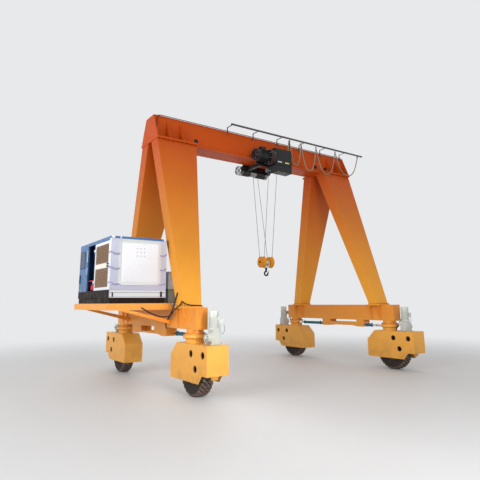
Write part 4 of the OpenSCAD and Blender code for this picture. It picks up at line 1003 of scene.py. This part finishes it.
def add_canopy_trim():
    """The outer side's louvre, gaskets, strips and handle, and the filters and hoses in the bay."""
    x = CANOPY_X[0]
    blades, red, hoses = Shape(), Shape(), Shape()
    for k in range(8):
        px, y, z = at(x + 0.002, REAR_LOUVRE_Y[0] + 0.006, REAR_LOUVRE_Z + 0.055 * k + 0.034)
        blades.slat(px, y, REAR_LOUVRE_Y[1] - 0.006, z, 0.018, 0.026)
    blades.make("rear_louvre", "louvre", "blue_paint")
    gaskets = []
    t = 0.014
    for y0, y1, z0, z1 in ((*REAR_LOUVRE_Y, REAR_LOUVRE_Z - 0.012, REAR_LOUVRE_Z + 0.44),
                           (*BAY_Y, *BAY_Z)):
        gaskets += [((x - 0.007, *low), (x + 0.001, *high)) for low, high in (
            ((y0 - t, z0 - t), (y1 + t, z0)), ((y0 - t, z1), (y1 + t, z1 + t)),
            ((y0 - t, z0), (y0, z1)), ((y1, z0), (y1 + t, z1)))]
    add_blocks("canopy_gaskets", "dark", "blue_paint", 0.0, gaskets)
    add_blocks("post_strips", "white", "blue_paint", 0.0, [
        ((x - 0.003, 0.64, low), (x + 0.001, 0.672, high)) for low, high in STRIP_Z])
    add_blocks("canopy_base_strip", "skid", "blue_paint", 0.001, (
        ((x - 0.004, -1.296, CANOPY_Z[0]), (x + 0.001, CANOPY_Y[1] - 0.004, 2.458)),))
    add_blocks("rear_handle", "dark", "blue_paint", 0.006, (
        ((x - 0.022, 1.27, 2.7), (x + 0.001, 1.32, 2.94)),))
    red.block(at(x + 0.04, 0.004, 2.725), at(x + 0.062, 0.57, 2.752))
    red.disc(at(x + 0.12, 0.33, 2.5), UP, 0.06, 0.17)
    red.disc(at(x + 0.12, 0.48, 2.5), UP, 0.045, 0.12)
    red.make("engine_filters", "red", "engine_black", bevel=0.004)
    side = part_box("generator_engine")[0].x - MID_X
    for k in range(3):
        z = 2.7 + 0.05 * k
        path = [(side - 0.004, -0.2 - 0.05 * k, z - 0.3), (side - 0.02, -0.05, z - 0.06),
                (side - 0.016, 0.2, z), (side - 0.02, 0.45, z - 0.05 * k),
                (side - 0.004, 0.65, z - 0.2)]
        hoses.tube(lay(path), HOSE_R, 8)
    hoses.make("engine_hoses", "hose", "engine_black")


def add_cabinet_trim():
    """The power cabinet's darker lower box, door seam, handle and screws."""
    low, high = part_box("power_cabinet")
    cover, trim, screws = Shape(), Shape(), Shape()
    cover.block((low.x - 0.004, low.y - 0.004, low.z + 0.11),
                (high.x + 0.004, high.y + 0.004, low.z + 0.48))
    cover.make("cabinet_lower_box", "olive", "grey_paint", bevel=0.004)
    x0, x1, z0, z1 = low.x + 0.025, high.x - 0.025, low.z + 0.52, high.z - 0.025
    t = 0.004
    for xa, za, xb, zb in ((x0, z0, x1, z0 + t), (x0, z1, x1, z1 + t), (x0, z0, x0 + t, z1),
                           (x1, z0, x1 + t, z1)):
        trim.block((xa, low.y - 0.0015, za), (xb, low.y + 0.001, zb))
    trim.block((x1 - 0.05, low.y - 0.022, z0 + 0.14), (x1 - 0.03, low.y, z0 + 0.24))
    trim.make("cabinet_seams", "dark", "grey_paint")
    for x in (x0 + 0.025, x1 - 0.025):
        for z in (z0 + 0.025, z1 - 0.025):
            screws.bolt((x, low.y, z), FRONT, SCREW)
        for z in (low.z + 0.14, low.z + 0.45):
            screws.bolt((x, low.y - 0.004, z), FRONT, SCREW)
    screws.make("cabinet_screws", "bolt", "grey_paint")


# Stage

def add_camera():
    """The camera of the photograph."""
    turn = Matrix.Identity(4)
    for angle, axis in ((-YAW, "Z"), (90 + PITCH, "X"), (ROLL, "Z")):
        turn = turn @ Matrix.Rotation(radians(angle), 4, axis)
    data = bpy.data.cameras.new("camera")
    data.sensor_width = SENSOR
    data.lens = LENS
    data.shift_y = SHIFT_Y
    data.clip_end = 500.0
    camera = add_object("camera", data)
    camera.matrix_world = Matrix.Translation(EYE) @ turn
    bpy.context.scene.camera = camera


def add_lamp(name, place, target, size, watts, spread=180.0):
    """A square area lamp, placed and aimed in the row frame."""
    data = bpy.data.lights.new(name, "AREA")
    data.shape = "SQUARE"
    data.size = size
    data.energy = watts
    data.spread = radians(spread)
    lamp = add_object(name, data)
    lamp.location = place
    lamp.rotation_euler = (Vector(target) - Vector(place)).to_track_quat("-Z", "Y").to_euler()


def add_floor():
    """A pale floor that fades into the surround far behind the crane."""
    half = 150.0
    corners = [(-half, -half, 0), (half, -half, 0), (half, half, 0), (-half, half, 0)]
    mesh = bpy.data.meshes.new("floor")
    mesh.from_pydata(corners, [], [(0, 1, 2, 3)])
    n = Nodes("floor")
    tone = n.mix(n.noise(0.4, 3.0), linear(214, 214, 214), linear(220, 220, 220))
    n.finish(tone, n.span(n.noise(3.0), 0.2, 0.8, 0.5, 0.62), shine=0.2)
    away = n.add("VectorMath", {0: n.place}, "Value", operation="LENGTH")
    glow = n.add("Emission", {"Color": HORIZON})
    fade = n.add("MixShader", {"Fac": n.span(away, 6.0, 19.0), 1: n.shader.outputs[0], 2: glow})
    feed(n.tree, n.tree.nodes["Material Output"].inputs, {"Surface": fade})
    mesh.materials.append(n.material)
    floor = add_object("floor", mesh)


def add_world():
    """A plain pale surround that lights softly and shows as near white."""
    world = bpy.data.worlds.new("studio")
    world.use_nodes = True
    tree = world.node_tree
    back = tree.nodes["Background"]
    feed(tree, back.inputs, {"Color": (1.0, 1.0, 1.0, 1.0), "Strength": 0.55})
    seen = add_node(tree, "Background", {"Color": HORIZON, "Strength": 1.0})
    rays = tree.nodes.new("ShaderNodeLightPath").outputs
    either = add_node(tree, "Math", {0: rays["Is Camera Ray"], 1: rays["Is Transmission Ray"]},
                      operation="MAXIMUM")
    shown = add_node(tree, "Math", {0: either, 1: rays["Is Glossy Ray"]}, operation="MAXIMUM")
    mixer = add_node(tree, "MixShader", {"Fac": shown, 1: back.outputs[0], 2: seen})
    feed(tree, tree.nodes["World Output"].inputs, {"Surface": mixer})
    bpy.context.scene.world = world


def build():
    """The stage, the materials and every piece."""
    add_camera()
    add_world()
    add_floor()
    add_lamp("key", (-6.5, -16.5, 7.0), (-2.5, 0.0, 3.0), 7.0, 620.0)
    add_lamp("low", (-3.0, -14.0, 3.6), (-3.5, -3.0, 0.8), 3.0, 200.0)
    add_lamp("sun", (-3.4, -14.0, 2.6), (-3.4, -4.0, 1.0), 2.0, 14.0, 24.0)
    add_lamp("fill", (-21.0, -5.0, 7.0), (0.0, 0.0, 3.0), 12.0, 2200.0)
    add_lamp("back", (8.0, 18.0, 13.0), (0.0, 0.0, 4.0), 12.0, 800.0)
    bpy.context.scene.view_settings.view_transform = "Standard"
    paint_nodes()
    for corner, sx, sy in CORNERS:
        add_tyre(corner)
        add_ring_bolts(corner)
        add_drive_trim(corner, sx, sy)
        add_drive_cables(corner, sx, sy)
        add_hood_trim(corner, sy)
        add_cylinder_trim(corner, sy)
    for add in (add_frame_bolts, add_frame_welds, add_supply_cables, add_hoist_trim, add_block_trim,
                add_drum_rope, add_ropes, add_festoon, add_pad, add_straps, add_end_panel,
                add_door_trim, add_canopy_trim, add_cabinet_trim):
        add()


build()
